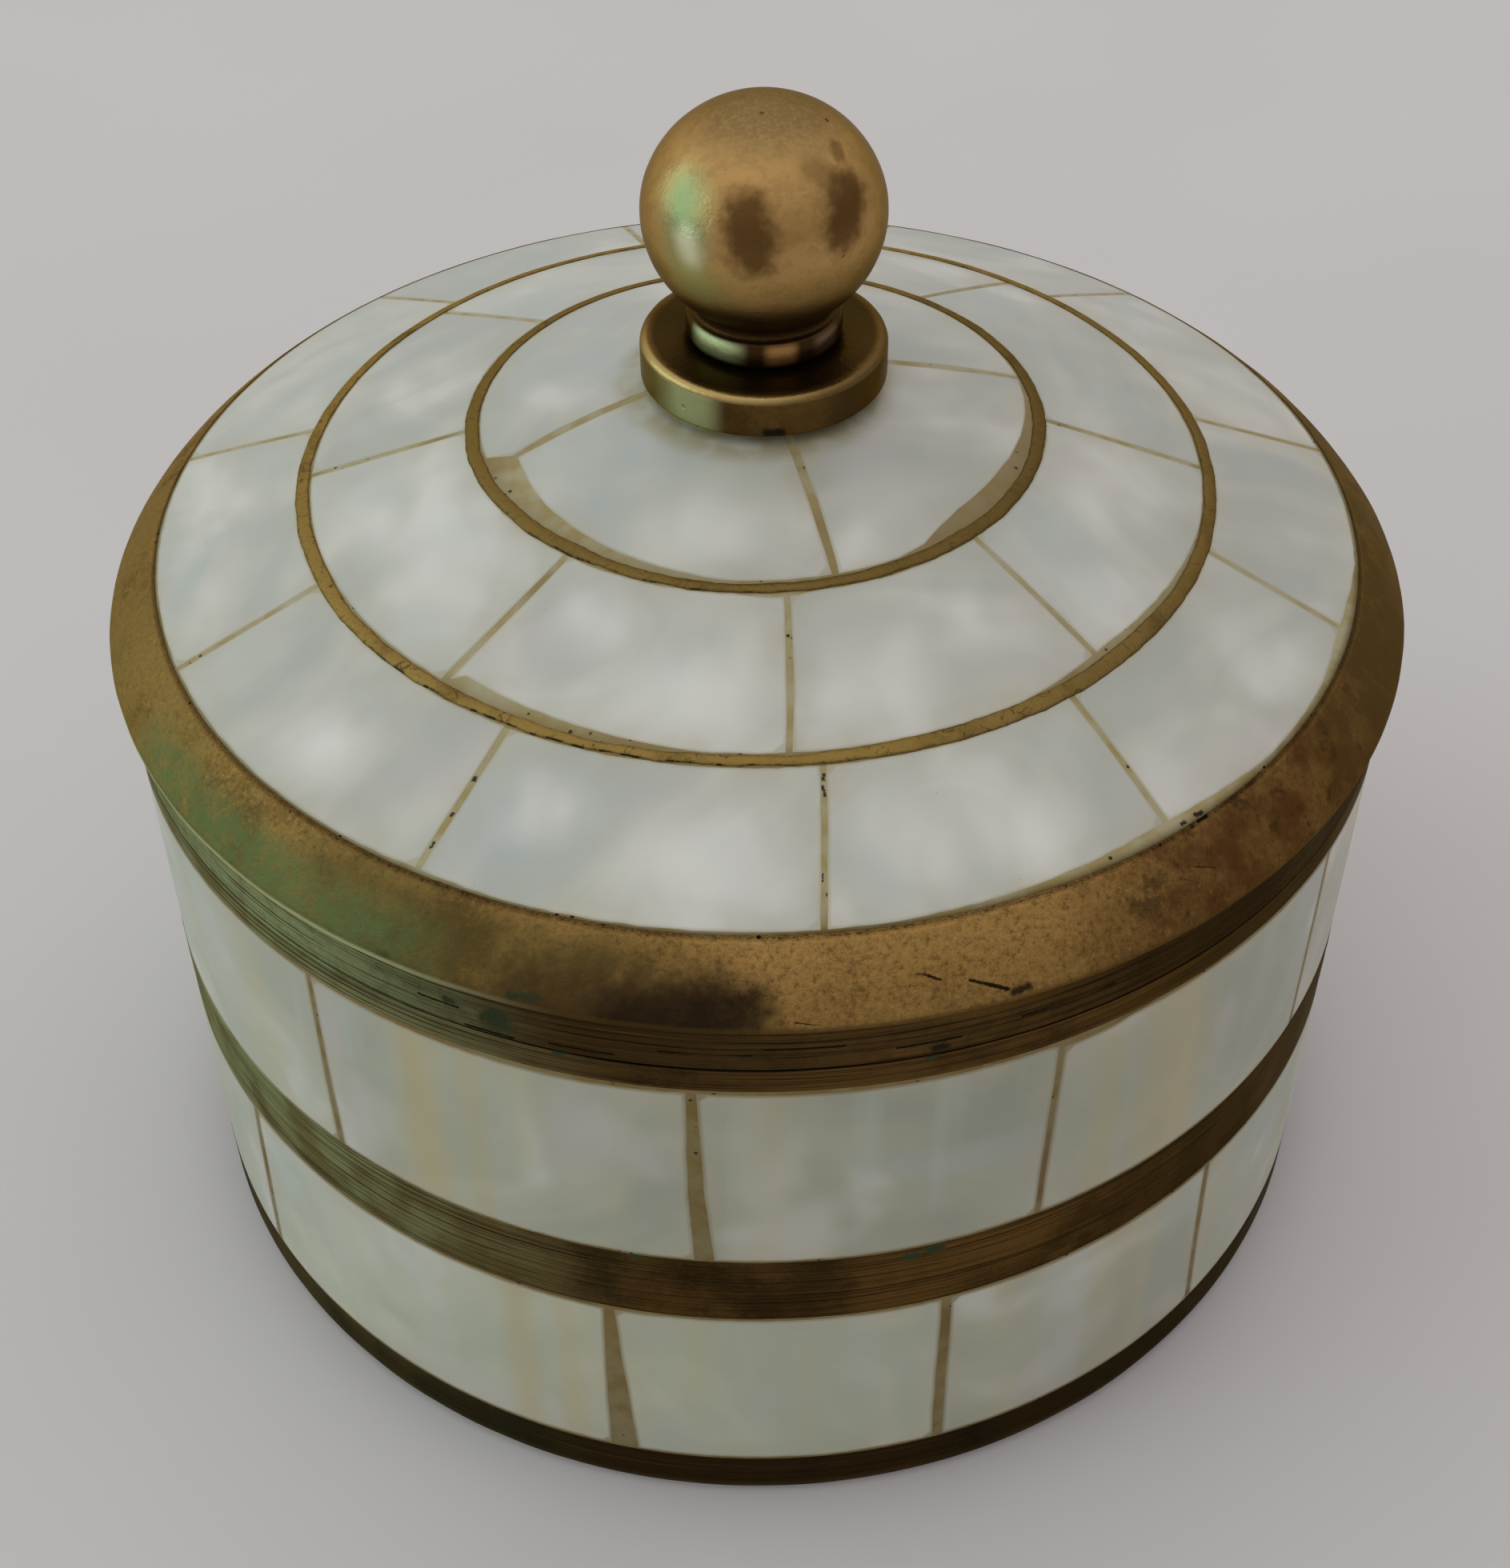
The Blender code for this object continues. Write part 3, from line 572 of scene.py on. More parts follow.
def ball_material():
    """The ball: golden towards the front, painted olive and brown shade on its flanks and under it, painted
    reflections of the window and of dark things in front of it, and painted highlights round its neck.
    """
    g = knob_brass("ball_brass", (0.50, 0.31, 0.112), (0.31, 0.185, 0.062), 0.30)
    centre = Vector((KNOB_X, 0, BALL_CENTRE)) / MM
    outward = g.vector("NORMALIZE", g.vector("SUBTRACT", g.place, centre))
    # Painted shade: the ball turns darker olive-brown wherever it faces away from the front, on its flanks, back and
    # underside.
    painted_light_zone = g.vector("DOT_PRODUCT", outward, (-0.05, -0.80, 0.60))
    g.mark(g.step(painted_light_zone, 0.60, 0.0, top=0.75), (0.135, 0.098, 0.040), 0.08)
    dusty = g.both(g.step(g.height(), BALL_TOP / MM - 1.6, BALL_TOP / MM - 0.2), g.step(g.grain, 0.3, 0.6, 0.5, 0.8))
    g.mark(dusty, (0.19, 0.135, 0.060), 0.12)
    # Painted reflections of the window on the ball's left: a green streak, a golden-olive patch below it and a small
    # pale highlight.
    g.mark(g.stroke(on_ball(-44, 29), on_ball(-38, 10), 2.0, 0.3, 0.0), (0.27, 0.30, 0.14))
    g.mark(g.stroke(on_ball(-36, -4), on_ball(-32, -16), 2.0, 0.3, 0.0), (0.40, 0.35, 0.13))
    g.mark(g.stroke(on_ball(-37, 10), on_ball(-34, 4), 1.05, 0.3, 0.0), (0.72, 0.69, 0.45), -0.04)
    # Dark patches painted on the ball: the two large ones are painted reflections of dark things in front of it, the
    # two small ones are dark spots.
    dark_reflections_and_spots = (
        (on_ball(-7, 27), on_ball(-4, 11), 1.65, 0.9),
        (on_ball(50, 29), on_ball(41, 15), 1.6, 0.9),
        (on_ball(61, 50), on_ball(58, 46), 0.55, 0.6),
        (on_ball(34, 45), on_ball(42, 38), 1.0, 0.45),
    )
    for start, end, width, strength in dark_reflections_and_spots:
        dark_patch = g.stroke(start, end, width, 0.7, 0.25)
        g.mark(g.math("MULTIPLY", dark_patch, strength), (0.115, 0.056, 0.016), 0.03)
    middle = BALL_CENTRE / MM
    # Painted shade: the ball darkens to brown from just below its middle down to its underside.
    g.mark(g.step(g.height(), middle - 0.4, middle - 3.4, top=0.92), (0.080, 0.043, 0.012), 0.04)
    # Painted shade in the narrow waist between the ball and the bead below it.
    neck = g.step(g.height(), (DISC_TOP + BEAD_HEIGHT) / MM + 0.15, (DISC_TOP + BEAD_HEIGHT) / MM)
    g.mark(neck, (0.055, 0.030, 0.010))
    seat = DISC_TOP / MM
    barrel = g.both(g.step(g.height(), seat + 0.1, seat + 0.5), g.step(g.height(), seat + 1.4, seat + 1.1))
    for facing, low, high, colour in NECK_GLINTS:
        glint = g.step(g.facing(facing, KNOB_X / MM), low, high)
        g.mark(g.both(barrel, glint), colour, -0.03)
    return g.done(0.24)


def disc_material():
    """The disc under the ball: nearly black on top as painted shade under the ball, with a worn edge carrying a
    painted highlight, a painted pale green-gold reflection of the window on its left flank, and painted shade on its
    right.
    """
    g = knob_brass("disc_brass", (0.15, 0.088, 0.026), (0.085, 0.046, 0.013), 0.42)
    x, top = KNOB_X / MM, DISC_TOP / MM
    flank = g.step(g.height(), top - 0.25, top - 0.40)
    # Painted reflection of the window: a pale green-gold patch on the left of the flank, with a darker green strip
    # further left.
    pale = g.step(g.facing(-38, x), 0.925, 0.99)
    g.mark(g.both(flank, pale), (0.41, 0.43, 0.215))
    g.mark(g.both(flank, g.step(g.facing(-62, x), 0.93, 0.99, top=0.7)), (0.21, 0.17, 0.065))
    # Painted shade on the flank's right side.
    g.mark(g.both(flank, g.step(g.facing(60, x), 0.80, 0.97, top=0.7)), (0.060, 0.036, 0.014))
    # Painted shade: the top face, under the ball, is darkened nearly to black.
    face = g.both(g.step(g.height(), top - 0.22, top - 0.06), g.step(g.radius(x), DISC_RADIUS / MM - 0.35, DISC_RADIUS / MM - 0.7))
    g.mark(g.both(face, g.step(g.blotches, 0.3, 0.7, 0.95, 0.85)), (0.038, 0.024, 0.009), 0.05)
    # The rounded edge: polished by wear, with a painted highlight towards the front left and painted shade towards the
    # back right.
    painted_light_zone = g.both(
        g.step(g.radius(x), DISC_RADIUS / MM - 0.42, DISC_RADIUS / MM - 0.20),
        g.step(g.height(), top - 0.42, top - 0.22),
    )
    g.mark(g.both(painted_light_zone, g.step(g.facing(-35, x), 0.3, 0.98, 0.12, 1.0)), (0.50, 0.36, 0.14), -0.05)
    g.mark(g.both(painted_light_zone, g.step(g.facing(115, x), 0.0, 0.9, top=0.75)), (0.13, 0.08, 0.03))
    dirt = g.stroke(on_disc(2, 0.25), on_disc(9, 0.25), 0.32, 1.0, 0.2)
    g.mark(dirt, (0.02, 0.018, 0.010), 0.2)
    return g.done(0.27)


def inner_material(name):
    """Brass that is seldom seen: duller gold, with turning lines and light tarnish."""
    g = Brass(name, light=(0.62, 0.43, 0.18), dark=(0.34, 0.21, 0.08), blotch=0.12, bias=0.4, seed=12.0)
    lines = g.noise(1.0, 3.0, g.node("CombineXYZ", {0: g.math("MULTIPLY", g.radius(), 5.0), 1: g.math("MULTIPLY", g.height(), 5.0)}))
    g.mark(g.step(lines, 0.46, 0.34, top=0.5), BROWN)
    g.bumps.append((lines, 0.02))
    return g.done(0.36)


def floor_material():
    g = Graph("pale_floor")
    weave = g.noise(0.02, 2.0)
    colour = g.blend(g.step(weave, 0.3, 0.7), (0.66, 0.64, 0.645), (0.68, 0.665, 0.67))
    return g.finish(colour, 0.8)


# ---------------------------------------------------------------- meshes


def make_piece(name, points, faces, material, body, slot, *nodes):
    """A piece from its points and faces, riding on a body and standing for CAD nodes."""
    mesh = bpy.data.meshes.new(name)
    mesh.from_pydata([tuple(point) for point in points], [], faces)
    mesh.materials.append(material)
    mesh.shade_smooth()
    piece = bpy.data.objects.new(name, mesh)
    bpy.context.scene.collection.objects.link(piece)
    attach(piece, body)
    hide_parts(*nodes)
    return piece


def rounded(corners, closed=True, steps=4):
    """An outline whose corners (radius, height, rounding) are eased by short curves."""
    outline = []
    count = len(corners)
    for number, (x, z, ease) in enumerate(corners):
        corner = Vector((x, z))
        if not ease or (not closed and number in (0, count - 1)):
            outline.append(tuple(corner))
            continue
        before = Vector(corners[number - 1][:2])
        after = Vector(corners[(number + 1) % count][:2])
        start = corner + (before - corner).normalized() * min(ease, (before - corner).length * 0.49)
        end = corner + (after - corner).normalized() * min(ease, (after - corner).length * 0.49)
        for i in range(steps + 1):
            t = i / steps
            outline.append(tuple((1 - t) ** 2 * start + 2 * t * (1 - t) * corner + t * t * end))
    return outline


def turned(name, outline, material, body, slot, nodes, closed=True, steps=RING_STEPS, wear=0.0, centre=0.0):
    """A turned piece. Its outline runs down the outer side, and wear is how far the surface wanders."""
    ring = []
    points, faces = [], []
    for radius, height in outline:
        if radius < 1e-9:
            ring.append([len(points)] * steps)
            points.append((centre, 0.0, height))
            continue
        ring.append(list(range(len(points), len(points) + steps)))
        for i in range(steps):
            place = polar(360 * i / steps, radius, height)
            drift = wear * noise.noise(place / MM * 0.35) if wear else 0.0
            if wear:
                drift += 0.35 * wear * noise.noise(place / MM * 1.3)
            place.x *= 1 + drift / radius
            place.y *= 1 + drift / radius
            points.append((place.x + centre, place.y, place.z))
    pairs = list(zip(ring, ring[1:]))
    if closed:
        pairs.append((ring[-1], ring[0]))
    for upper, lower in pairs:
        for i in range(steps):
            j = (i + 1) % steps
            corners = [upper[i], lower[i], lower[j], upper[j]]
            faces.append(list(dict.fromkeys(corners)))
    piece = make_piece(name, points, faces, material, body, slot, *nodes)
    weighted = piece.modifiers.new("Even shading", "WEIGHTED_NORMAL")
    weighted.keep_sharp = True
    return piece


# How wide each wire looks on its way round: angle and width in millimetres
OUTER_WIRE_WIDTHS = ((-180, 0.6), (-100, 0.62), (-70, 0.66), (-40, 0.56), (-15, 0.44), (5, 0.46), (20, 0.66), (45, 0.74), (80, 0.62), (180, 0.6))
INNER_WIRE_WIDTHS = ((-180, 0.55), (-110, 0.62), (-75, 0.66), (-40, 0.62), (-5, 0.44), (12, 0.48), (45, 0.62), (90, 0.62), (180, 0.55))


def along(pairs, angle):
    """The value at an angle, in metres, from (angle, millimetres) pairs."""
    return float(np.interp(angle, *zip(*pairs))) * MM


def wire(name, radius, widths, material, seed, *nodes):
    """A strip bent round the dome by hand: its path and its width wander a little."""
    steps = 480
    section = [(-1, -1.4), (-1, 0.0), (-0.82, 0.06), (0, 0.08), (0.82, 0.06), (1, 0.0), (1, -1.4)]
    points, faces, shares = [], [], []
    for i in range(steps):
        angle = 360 * i / steps
        round_way = polar(angle, radius, 0.0) / MM
        middle = radius + 0.10 * MM * noise.noise(round_way * 0.11 + Vector((seed, 0, 0)))
        middle += 0.03 * MM * noise.noise(round_way * 0.45 + Vector((seed, 5, 0)))
        half = along(widths, (angle + 180) % 360 - 180) / 2
        sides = [
            half + MM * (0.06 * noise.noise(round_way * 0.7 + way) + 0.035 * noise.noise(round_way * 2.6 + way))
            for way in (Vector((seed, 0, 40)), Vector((seed, 0, 80)))
        ]
        for across, rise in section:
            r = middle + across * sides[across > 0]
            points.append(polar(angle, r, dome_height(r) + rise * MM * 0.8))
            shares.append(across)
    count = len(section)
    for i in range(steps):
        j = (i + 1) % steps
        for k in range(count):
            m = (k + 1) % count
            faces.append((i * count + k, j * count + k, j * count + m, i * count + m))
    piece = make_piece(name, points, faces, material, "lid", "aged_brass", *nodes)
    piece.data.attributes.new("across", "FLOAT", "POINT").data.foreach_set("value", shares)
    return piece


def tile_sides(node, by_height):
    """Angles of a CAD tile's two sides, at its lower or outer edge and at its upper or inner one."""
    points = [vertex.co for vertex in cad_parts[node].data.vertices]
    middle = sum(points, Vector()) / len(points)
    facing = math.degrees(math.atan2(middle.x, -middle.y))
    turn_back = Matrix.Rotation(-math.radians(facing), 3, "Z")
    placed = []
    for point in points:
        turned_point = turn_back @ point
        key = point.z if by_height else -point.xy.length
        placed.append((key, facing + math.degrees(math.atan2(turned_point.x, -turned_point.y))))
    lowest, highest = min(placed)[0], max(placed)[0]
    low = [angle for key, angle in placed if key < lowest + 0.01 * MM]
    high = [angle for key, angle in placed if key > highest - 0.01 * MM]
    return min(low), max(low), min(high), max(high)


# What share of the CAD's gap a seam takes, by the tile to its right
SEAM_SHARE = 0.55
WIDE_SEAMS = {"upper_band_tile_02": 0.95, "lower_band_tile_02": 1.0, "lower_band_tile_03": 0.8}


def seam_sides(names, by_height):
    """The sides of every tile in a circle, once each seam has its own width."""
    sides = [list(tile_sides(name, by_height)) for name in names]
    for number, name in enumerate(names):
        before, here = sides[number - 1], sides[number]
        spare = (1 - WIDE_SEAMS.get(name, SEAM_SHARE)) / 2
        for left, right in ((0, 1), (2, 3)):
            gap = ((here[left] - before[right]) % 360) * spare
            here[left] -= gap
            before[right] += gap
    return sides


def tile(node, number, count, sides, low, high, surface, low_marks, high_marks, material, body):
    """One shell tile between low and high, which are heights on the body and radii on the lid.

    surface(v) gives the radius and height of the tiled face. Its sides waver as the seams do, and
    its lower and upper edges stop short of the brass by as much as the marks say.
    """
    by_height = high > low
    left_low, right_low, left_high, right_high = sides
    way = 1 if by_height else -1
    radius_mid = surface((low + high) / 2)[0]
    arc = math.radians((right_low - left_low + right_high - left_high) / 2) * radius_mid
    columns = max(4, round(arc / TILE_CELL))
    rows = max(4, round(abs(high - low) / TILE_CELL))
    seeds = (number, number % count + 1)
    label = sum(ord(letter) for letter in node[:9])
    points, inward = [], []
    for j in range(rows + 1):
        across = j / rows
        bows = []
        for seed, turn in zip(seeds, (0, 30)):
            wander = 0.15 * MM * waver(across * abs(high - low), seed + label, 9.0)
            wander += 0.03 * MM * waver(across * abs(high - low), seed + label + 40 + turn, 1.6)
            bows.append(math.degrees(wander / radius_mid))
        left = mix(left_low, left_high, across) + bows[0]
        right = mix(right_low, right_high, across) + bows[1]
        for i in range(columns + 1):
            angle = mix(left, right, i / columns)
            facing_angle = (angle + 180) % 360 - 180
            start = TILE_JOINT + along(low_marks, facing_angle)
            start += 0.04 * MM * (1 + waver(angle * MM, label + 3, 1.1))
            stop = TILE_JOINT + along(high_marks, facing_angle)
            stop += 0.04 * MM * (1 + waver(angle * MM, label + 8, 1.1))
            v = mix(low + way * start, high - way * stop, across)
            r, z = surface(v)
            place = polar(angle, r, z)
            swell = 0.02 * MM * noise.noise(place / MM * 0.16 + Vector((number, 0, 0)))
            outward = Vector((place.x / r, place.y / r, 0)) if by_height else Vector((0, 0, 1))
            points.append(place + outward * (swell - 0.012 * MM))
            edge = min(i, columns - i) / columns * arc, min(j, rows - j) / rows * abs(high - low)
            inward.append(min(edge) / MM)
    width = columns + 1
    faces = [
        (j * width + i, j * width + i + 1, (j + 1) * width + i + 1, (j + 1) * width + i)
        for j in range(rows)
        for i in range(columns)
    ]
    piece = make_piece(node + "_shell", points, faces, material, body, "shell", node)
    piece.data.attributes.new("inward", "FLOAT", "POINT").data.foreach_set("value", inward)
    solid = piece.modifiers.new("Thickness", "SOLIDIFY")
    solid.thickness = 0.85 * TILE_THICKNESS
    solid.offset = -1.0
    edge = piece.modifiers.new("Edges", "BEVEL")
    edge.width = TILE_EDGE
    edge.segments = 2
    edge.limit_method = "ANGLE"
    edge.angle_limit = math.radians(50)
    edge.harden_normals = True
    return piece


# ---------------------------------------------------------------- the box


def turned_line(outer, top, bottom, seed, depth):
    """Points down an outer wall, with the shallow uneven steps that turning leaves."""
    chance = random.Random(seed)
    heights = [top]
    while heights[-1] - 0.22 * MM > bottom:
        heights.append(heights[-1] - chance.uniform(0.07, 0.2) * MM)
    return [(outer - chance.uniform(0, depth) * MM, z, 0) for z in heights[1:]]


def add_cup():
    inner, wall = high_of("body_cup").x - 1.0 * MM, 0.25 * MM
    floor = CUP_BOTTOM + 1.7 * MM
    corners = [(0, floor, 0), (inner, floor, 1.5 * MM), (inner, MOUTH_TOP, wall), (CUP_OUTER, MOUTH_TOP, wall)]
    corners += [(CUP_OUTER, CUP_BOTTOM, wall), (0, CUP_BOTTOM, 0)]
    outline = rounded(corners, closed=False, steps=6)
    turned("cup", outline, inner_material("cup_brass"), "box", "plain_brass", ["body_cup"], closed=False)


def add_rings():
    inner = CUP_OUTER + 0.3 * MM
    foot = [(inner, FOOT_TOP, 0), (BODY_RADIUS, FOOT_TOP, 0.12 * MM)]
    foot += [(BODY_RADIUS - 0.02 * MM, 0.9 * MM, 0.3 * MM), (BODY_RADIUS - 0.35 * MM, 0, 0.25 * MM), (inner, 0, 0)]
    material = band_material("foot_brass", (0.036, 0.021, 0.010), (0.010, 0.012, 0.009), 0.44, green=0.10, seed=5.0)
    turned("foot", rounded(foot), material, "box", "dark_brass", ["foot_ring"], wear=0.02 * MM)
    belt = [(inner, BELT_TOP, 0), (BODY_RADIUS, BELT_TOP, 0.14 * MM)]
    belt += turned_line(BODY_RADIUS, BELT_TOP, BELT_BOTTOM, 3, 0.012)
    belt += [(BODY_RADIUS, BELT_BOTTOM, 0.14 * MM), (inner, BELT_BOTTOM, 0)]
    spots = [(on_body(-9, 19.0), 0.35), (on_body(16, 18.8), 0.5), (on_body(14, 18.5), 0.4)]
    material = band_material("belt_brass", (0.115, 0.062, 0.019), (0.036, 0.021, 0.008), 0.42, spots, 0.8, seed=9.0)
    turned("belt", rounded(belt), material, "box", "aged_brass", ["belt_ring"], wear=0.03 * MM)
    mouth = [(inner, MOUTH_TOP, 0), (BODY_RADIUS, MOUTH_TOP, 0.06 * MM)]
    mouth += turned_line(BODY_RADIUS, MOUTH_TOP, MOUTH_BOTTOM, 4, 0.014)
    mouth += [(BODY_RADIUS, MOUTH_BOTTOM, 0.14 * MM), (inner, MOUTH_BOTTOM, 0)]
    spots = [(on_body(14.5, 32.0), 0.22), (on_body(-14.0, 32.05), 0.3)]
    material = band_material("mouth_brass", (0.105, 0.058, 0.018), (0.042, 0.024, 0.009), 0.40, spots, 0.8, seed=2.0)
    turned("mouth", rounded(mouth), material, "box", "aged_brass", ["mouth_ring"], wear=0.015 * MM)


# How far the body tiles' edges stop short of the rings: angles and millimetres
CLOSE = ((-180, 0.0), (180, 0.0))
UPPER_TOP_MARKS = (
    (-180, 0.03), (-60, 0.03), (-30, 0.10), (-12, 0.14), (-4, 0.06), (8, 0.10), (25, 0.06),
    (26.3, 0.34), (30.5, 0.26), (32.5, 0.05), (180, 0.03),
)
LOWER_TOP_MARKS = ((-180, 0.0), (-20, 0.03), (-12, 0.10), (-4, 0.03), (180, 0.0))
# Warm streaks in single body tiles: angle, half width in millimetres and strength
WARM_STREAKS = {
    "upper_band_tile_01": ((-27.0, 2.2, 0.75), (-22.0, 1.2, 0.4)),
    "upper_band_tile_02": ((2.0, 1.8, 0.3),),
    "upper_band_tile_03": ((38.0, 3.5, 0.6), (31.0, 1.5, 0.35)),
    "upper_band_tile_11": ((-46.0, 2.5, 0.35),),
    "lower_band_tile_01": ((-20.0, 1.6, 0.6), (-15.5, 1.2, 0.35)),
    "lower_band_tile_03": ((36.0, 3.0, 0.35),),
}


# How light single body tiles are
BODY_TONES = {
    "upper_band_tile_01": 0.97,
    "upper_band_tile_02": 0.86,
    "upper_band_tile_03": 0.91,
    "upper_band_tile_11": 1.05,
    "lower_band_tile_01": 1.10,
    "lower_band_tile_02": 1.15,
}


def body_face(v):
    return BODY_RADIUS, v


def add_bands():
    bands = (
        ("lower", FOOT_TOP, BELT_BOTTOM, CLOSE, LOWER_TOP_MARKS),
        ("upper", BELT_TOP, MOUTH_BOTTOM, CLOSE, UPPER_TOP_MARKS),
    )
    for band, (label, bottom, top, low_marks, high_marks) in enumerate(bands):
        inner, outer = CUP_OUTER + 0.3 * MM, BODY_RADIUS - RESIN_SINK
        bed = [(inner, top + 0.02 * MM), (outer, top + 0.02 * MM), (outer, bottom - 0.02 * MM), (inner, bottom - 0.02 * MM)]
        nodes = [f"{label}_resin_bed"]
        turned(label + "_resin", bed, resin_material(label + "_resin", (0.57, 0.49, 0.32)), "box", "resin", nodes, steps=192)
        names = [f"{label}_band_tile_{number:02d}" for number in range(1, 12)]
        for number, (node, sides) in enumerate(zip(names, seam_sides(names, True)), 1):
            streaks, tone = WARM_STREAKS.get(node, ()), BODY_TONES.get(node, 1.0)
            material = shell_material(node, 100 * band + number, 0.75, streaks, tone=tone)
            tile(node, number, 11, sides, bottom, top, body_face, low_marks, high_marks, material, "box")


# ---------------------------------------------------------------- the lid

# The same for the lid's tiles, at their outer and inner edges
OUTER_RIM_MARKS = (
    (-180, 0.05), (-34, 0.02), (-28, 0.10), (-20, 0.0), (12, 0.03), (25, 0.22), (37, 0.48), (42, 0.40),
    (52, 0.10), (62, 0.15), (70, 0.42), (75, 0.35), (82, 0.08), (180, 0.05),
)
MIDDLE_OUTER_MARKS = (
    (-180, 0.0), (-75, 0.05), (-37.5, 0.05), (-36.5, 0.72), (-28, 0.50), (-16, 0.25), (-6, 0.02), (34, 0.02),
    (41, 0.22), (47, 0.40), (60, 0.26), (75, 0.03), (180, 0.0),
)
INNER_OUTER_MARKS = (
    (-180, 0.0), (-72, 0.05), (-68.5, 1.35), (-62, 1.25), (-50, 0.92), (-35, 0.60), (-15, 0.20), (-5, 0.02),
    (30, 0.02), (37, 0.22), (42, 0.62), (50, 0.90), (65, 0.85), (80, 0.55), (92, 0.30), (106, 0.05), (180, 0.0),
)
MIDDLE_INNER_MARKS = ((-180, 0.02), (-2, 0.02), (3, 0.18), (8, 0.16), (12, 0.02), (180, 0.02))
# The centres of the growth bands of single tiles, in millimetres
GROWTH_CENTRES = {
    "lid_outer_tile_05": (9.5, -25.5, 39.0),
    "lid_middle_tile_03": (-6.0, -15.5, 41.0),
    "lid_middle_tile_02": (-30.0, -14.0, 60.0),
}


def add_rim():
    flange_inner = high_of("lid_collar").x + 0.3 * MM
    flange_top = high_of("lid_collar").z
    inner = RIM_INNER
    corners = [(inner, DOME_EDGE, 0)]
    for share in (0.2, 0.4, 0.6, 0.8):
        bulge = 0.2 * MM * 4 * share * (1 - share)
        corners.append((mix(inner, RIM_WIDEST, share) + 0.7 * bulge, mix(DOME_EDGE, WIDEST, share) + 0.7 * bulge, 0.5 * MM))
    corners += [(RIM_WIDEST, WIDEST, 0.45 * MM), (BODY_RADIUS + 0.03 * MM, ARRIS, 0.05 * MM)]
    corners += [(BODY_RADIUS - 0.02 * MM, ARRIS - 0.1 * MM, 0)]
    corners += turned_line(BODY_RADIUS, ARRIS - 0.12 * MM, LID_SEAT, 2, 0.022)
    corners += [(BODY_RADIUS, LID_SEAT, 0.06 * MM), (flange_inner, LID_SEAT, 0.1 * MM)]
    corners += [(flange_inner, flange_top, 0.1 * MM), (inner, flange_top, 0)]
    turned("rim", rounded(corners), rim_material(), "lid", "aged_brass", ["lid_rim_ring"], wear=0.025 * MM, steps=384)


def dome_line(inner, outer, drop, steps=24):
    radii = [mix(inner, outer, i / steps) for i in range(steps + 1)]
    return [(radius, dome_height(radius) - drop) for radius in radii]


def add_underside():
    """The collar and the dome's sheet, which show when the lid is off."""
    brass = inner_material("lid_inner_brass")
    collar_low, collar_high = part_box("lid_collar")
    wall, ease = 1.0 * MM, 0.2 * MM
    corners = [(collar_high.x - wall, collar_high.z, 0), (collar_high.x, collar_high.z, 0)]
    corners += [(collar_high.x, collar_low.z, ease), (collar_high.x - wall, collar_low.z, ease)]
    turned("collar", rounded(corners), brass, "lid", "plain_brass", ["lid_collar"])
    hole = STUD_RADIUS + 0.7 * MM
    top_drop, under_drop = 2.5 * MM, 3.5 * MM
    sheet = dome_line(hole, high_of("lid_dome").x, top_drop)
    sheet += reversed(dome_line(hole, high_of("lid_dome").x, under_drop))
    turned("dome_sheet", sheet, brass, "lid", "plain_brass", ["lid_dome"])


def add_nut():
    low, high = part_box("knob_nut")
    across, bore = high.x - low.x, STUD_RADIUS + 0.1 * MM
    corner = across / math.sqrt(3)
    chamfer = 0.25 * MM
    points, faces = [], []
    steps = 72
    levels = [(bore, high.z), (corner - chamfer * 2, high.z), (None, high.z - chamfer)]
    levels += [(None, low.z + chamfer), (corner - chamfer * 2, low.z), (bore, low.z)]
    for radius, height in levels:
        for i in range(steps):
            angle = 360 * i / steps
            flat = (across / 2) / math.cos(math.radians((angle + 30) % 60 - 30))
            place = polar(angle + 90, min(radius or flat, flat), height)
            points.append(place + Vector((KNOB_X, 0, 0)))
    for level in range(len(levels)):
        below = (level + 1) % len(levels)
        for i in range(steps):
            j = (i + 1) % steps
            faces.append((level * steps + i, below * steps + i, below * steps + j, level * steps + j))
    nut = make_piece("nut", points, faces, inner_material("nut_brass"), "lid", "plain_brass", "knob_nut")
    nut.data.set_sharp_from_angle(angle=math.radians(25))


def on_dome(angle, radius):
    return polar(angle, radius * MM, dome_height(radius * MM))


def add_lid_resin():
    hub = DISC_RADIUS - 0.6 * MM
    hole = STUD_RADIUS + 0.7 * MM
    top = [(hole, DISC_BOTTOM - 0.05 * MM), (hub - 0.4 * MM, DISC_BOTTOM - 0.05 * MM)]
    top += dome_line(hub, RIM_INNER + 0.02 * MM, RESIN_SINK, 60)
    bottom = dome_line(hole, RIM_INNER - 0.3 * MM, 2.2 * MM)
    # Painted shade in the resin inside each wire and the rim: radius and reach in millimetres, and strength
    shade_by_brass = ((OUTER_WIRE / MM, 1.1, 0.8), (INNER_WIRE / MM, 1.3, 0.65), (RIM_INNER / MM, 0.5, 0.3))
    holes = [
        (on_dome(8.5, 22.4), on_dome(8.45, 22.6), 0.10),
        (on_dome(8.2, 22.9), on_dome(8.4, 23.3), 0.09),
        (on_dome(7.2, 26.6), on_dome(7.1, 26.9), 0.05),
        (on_dome(7.3, 27.4), on_dome(7.3, 27.5), 0.05),
        (on_dome(41.2, 28.82), on_dome(41.7, 28.84), 0.17),
        (on_dome(39.6, 28.82), on_dome(39.8, 28.82), 0.15),
        (on_dome(-27.2, 24.5), on_dome(-27.2, 24.6), 0.13),
        (on_dome(-27.3, 26.2), on_dome(-27.3, 26.3), 0.09),
        (on_dome(-27.4, 27.6), on_dome(-27.4, 27.8), 0.09),
    ]
    material = resin_material("lid_resin", shade_by_brass=shade_by_brass, holes=holes, aged=(62, INNER_WIRE / MM))
    turned("lid_resin", top + bottom[::-1], material, "lid", "resin", ["lid_resin_bed"])


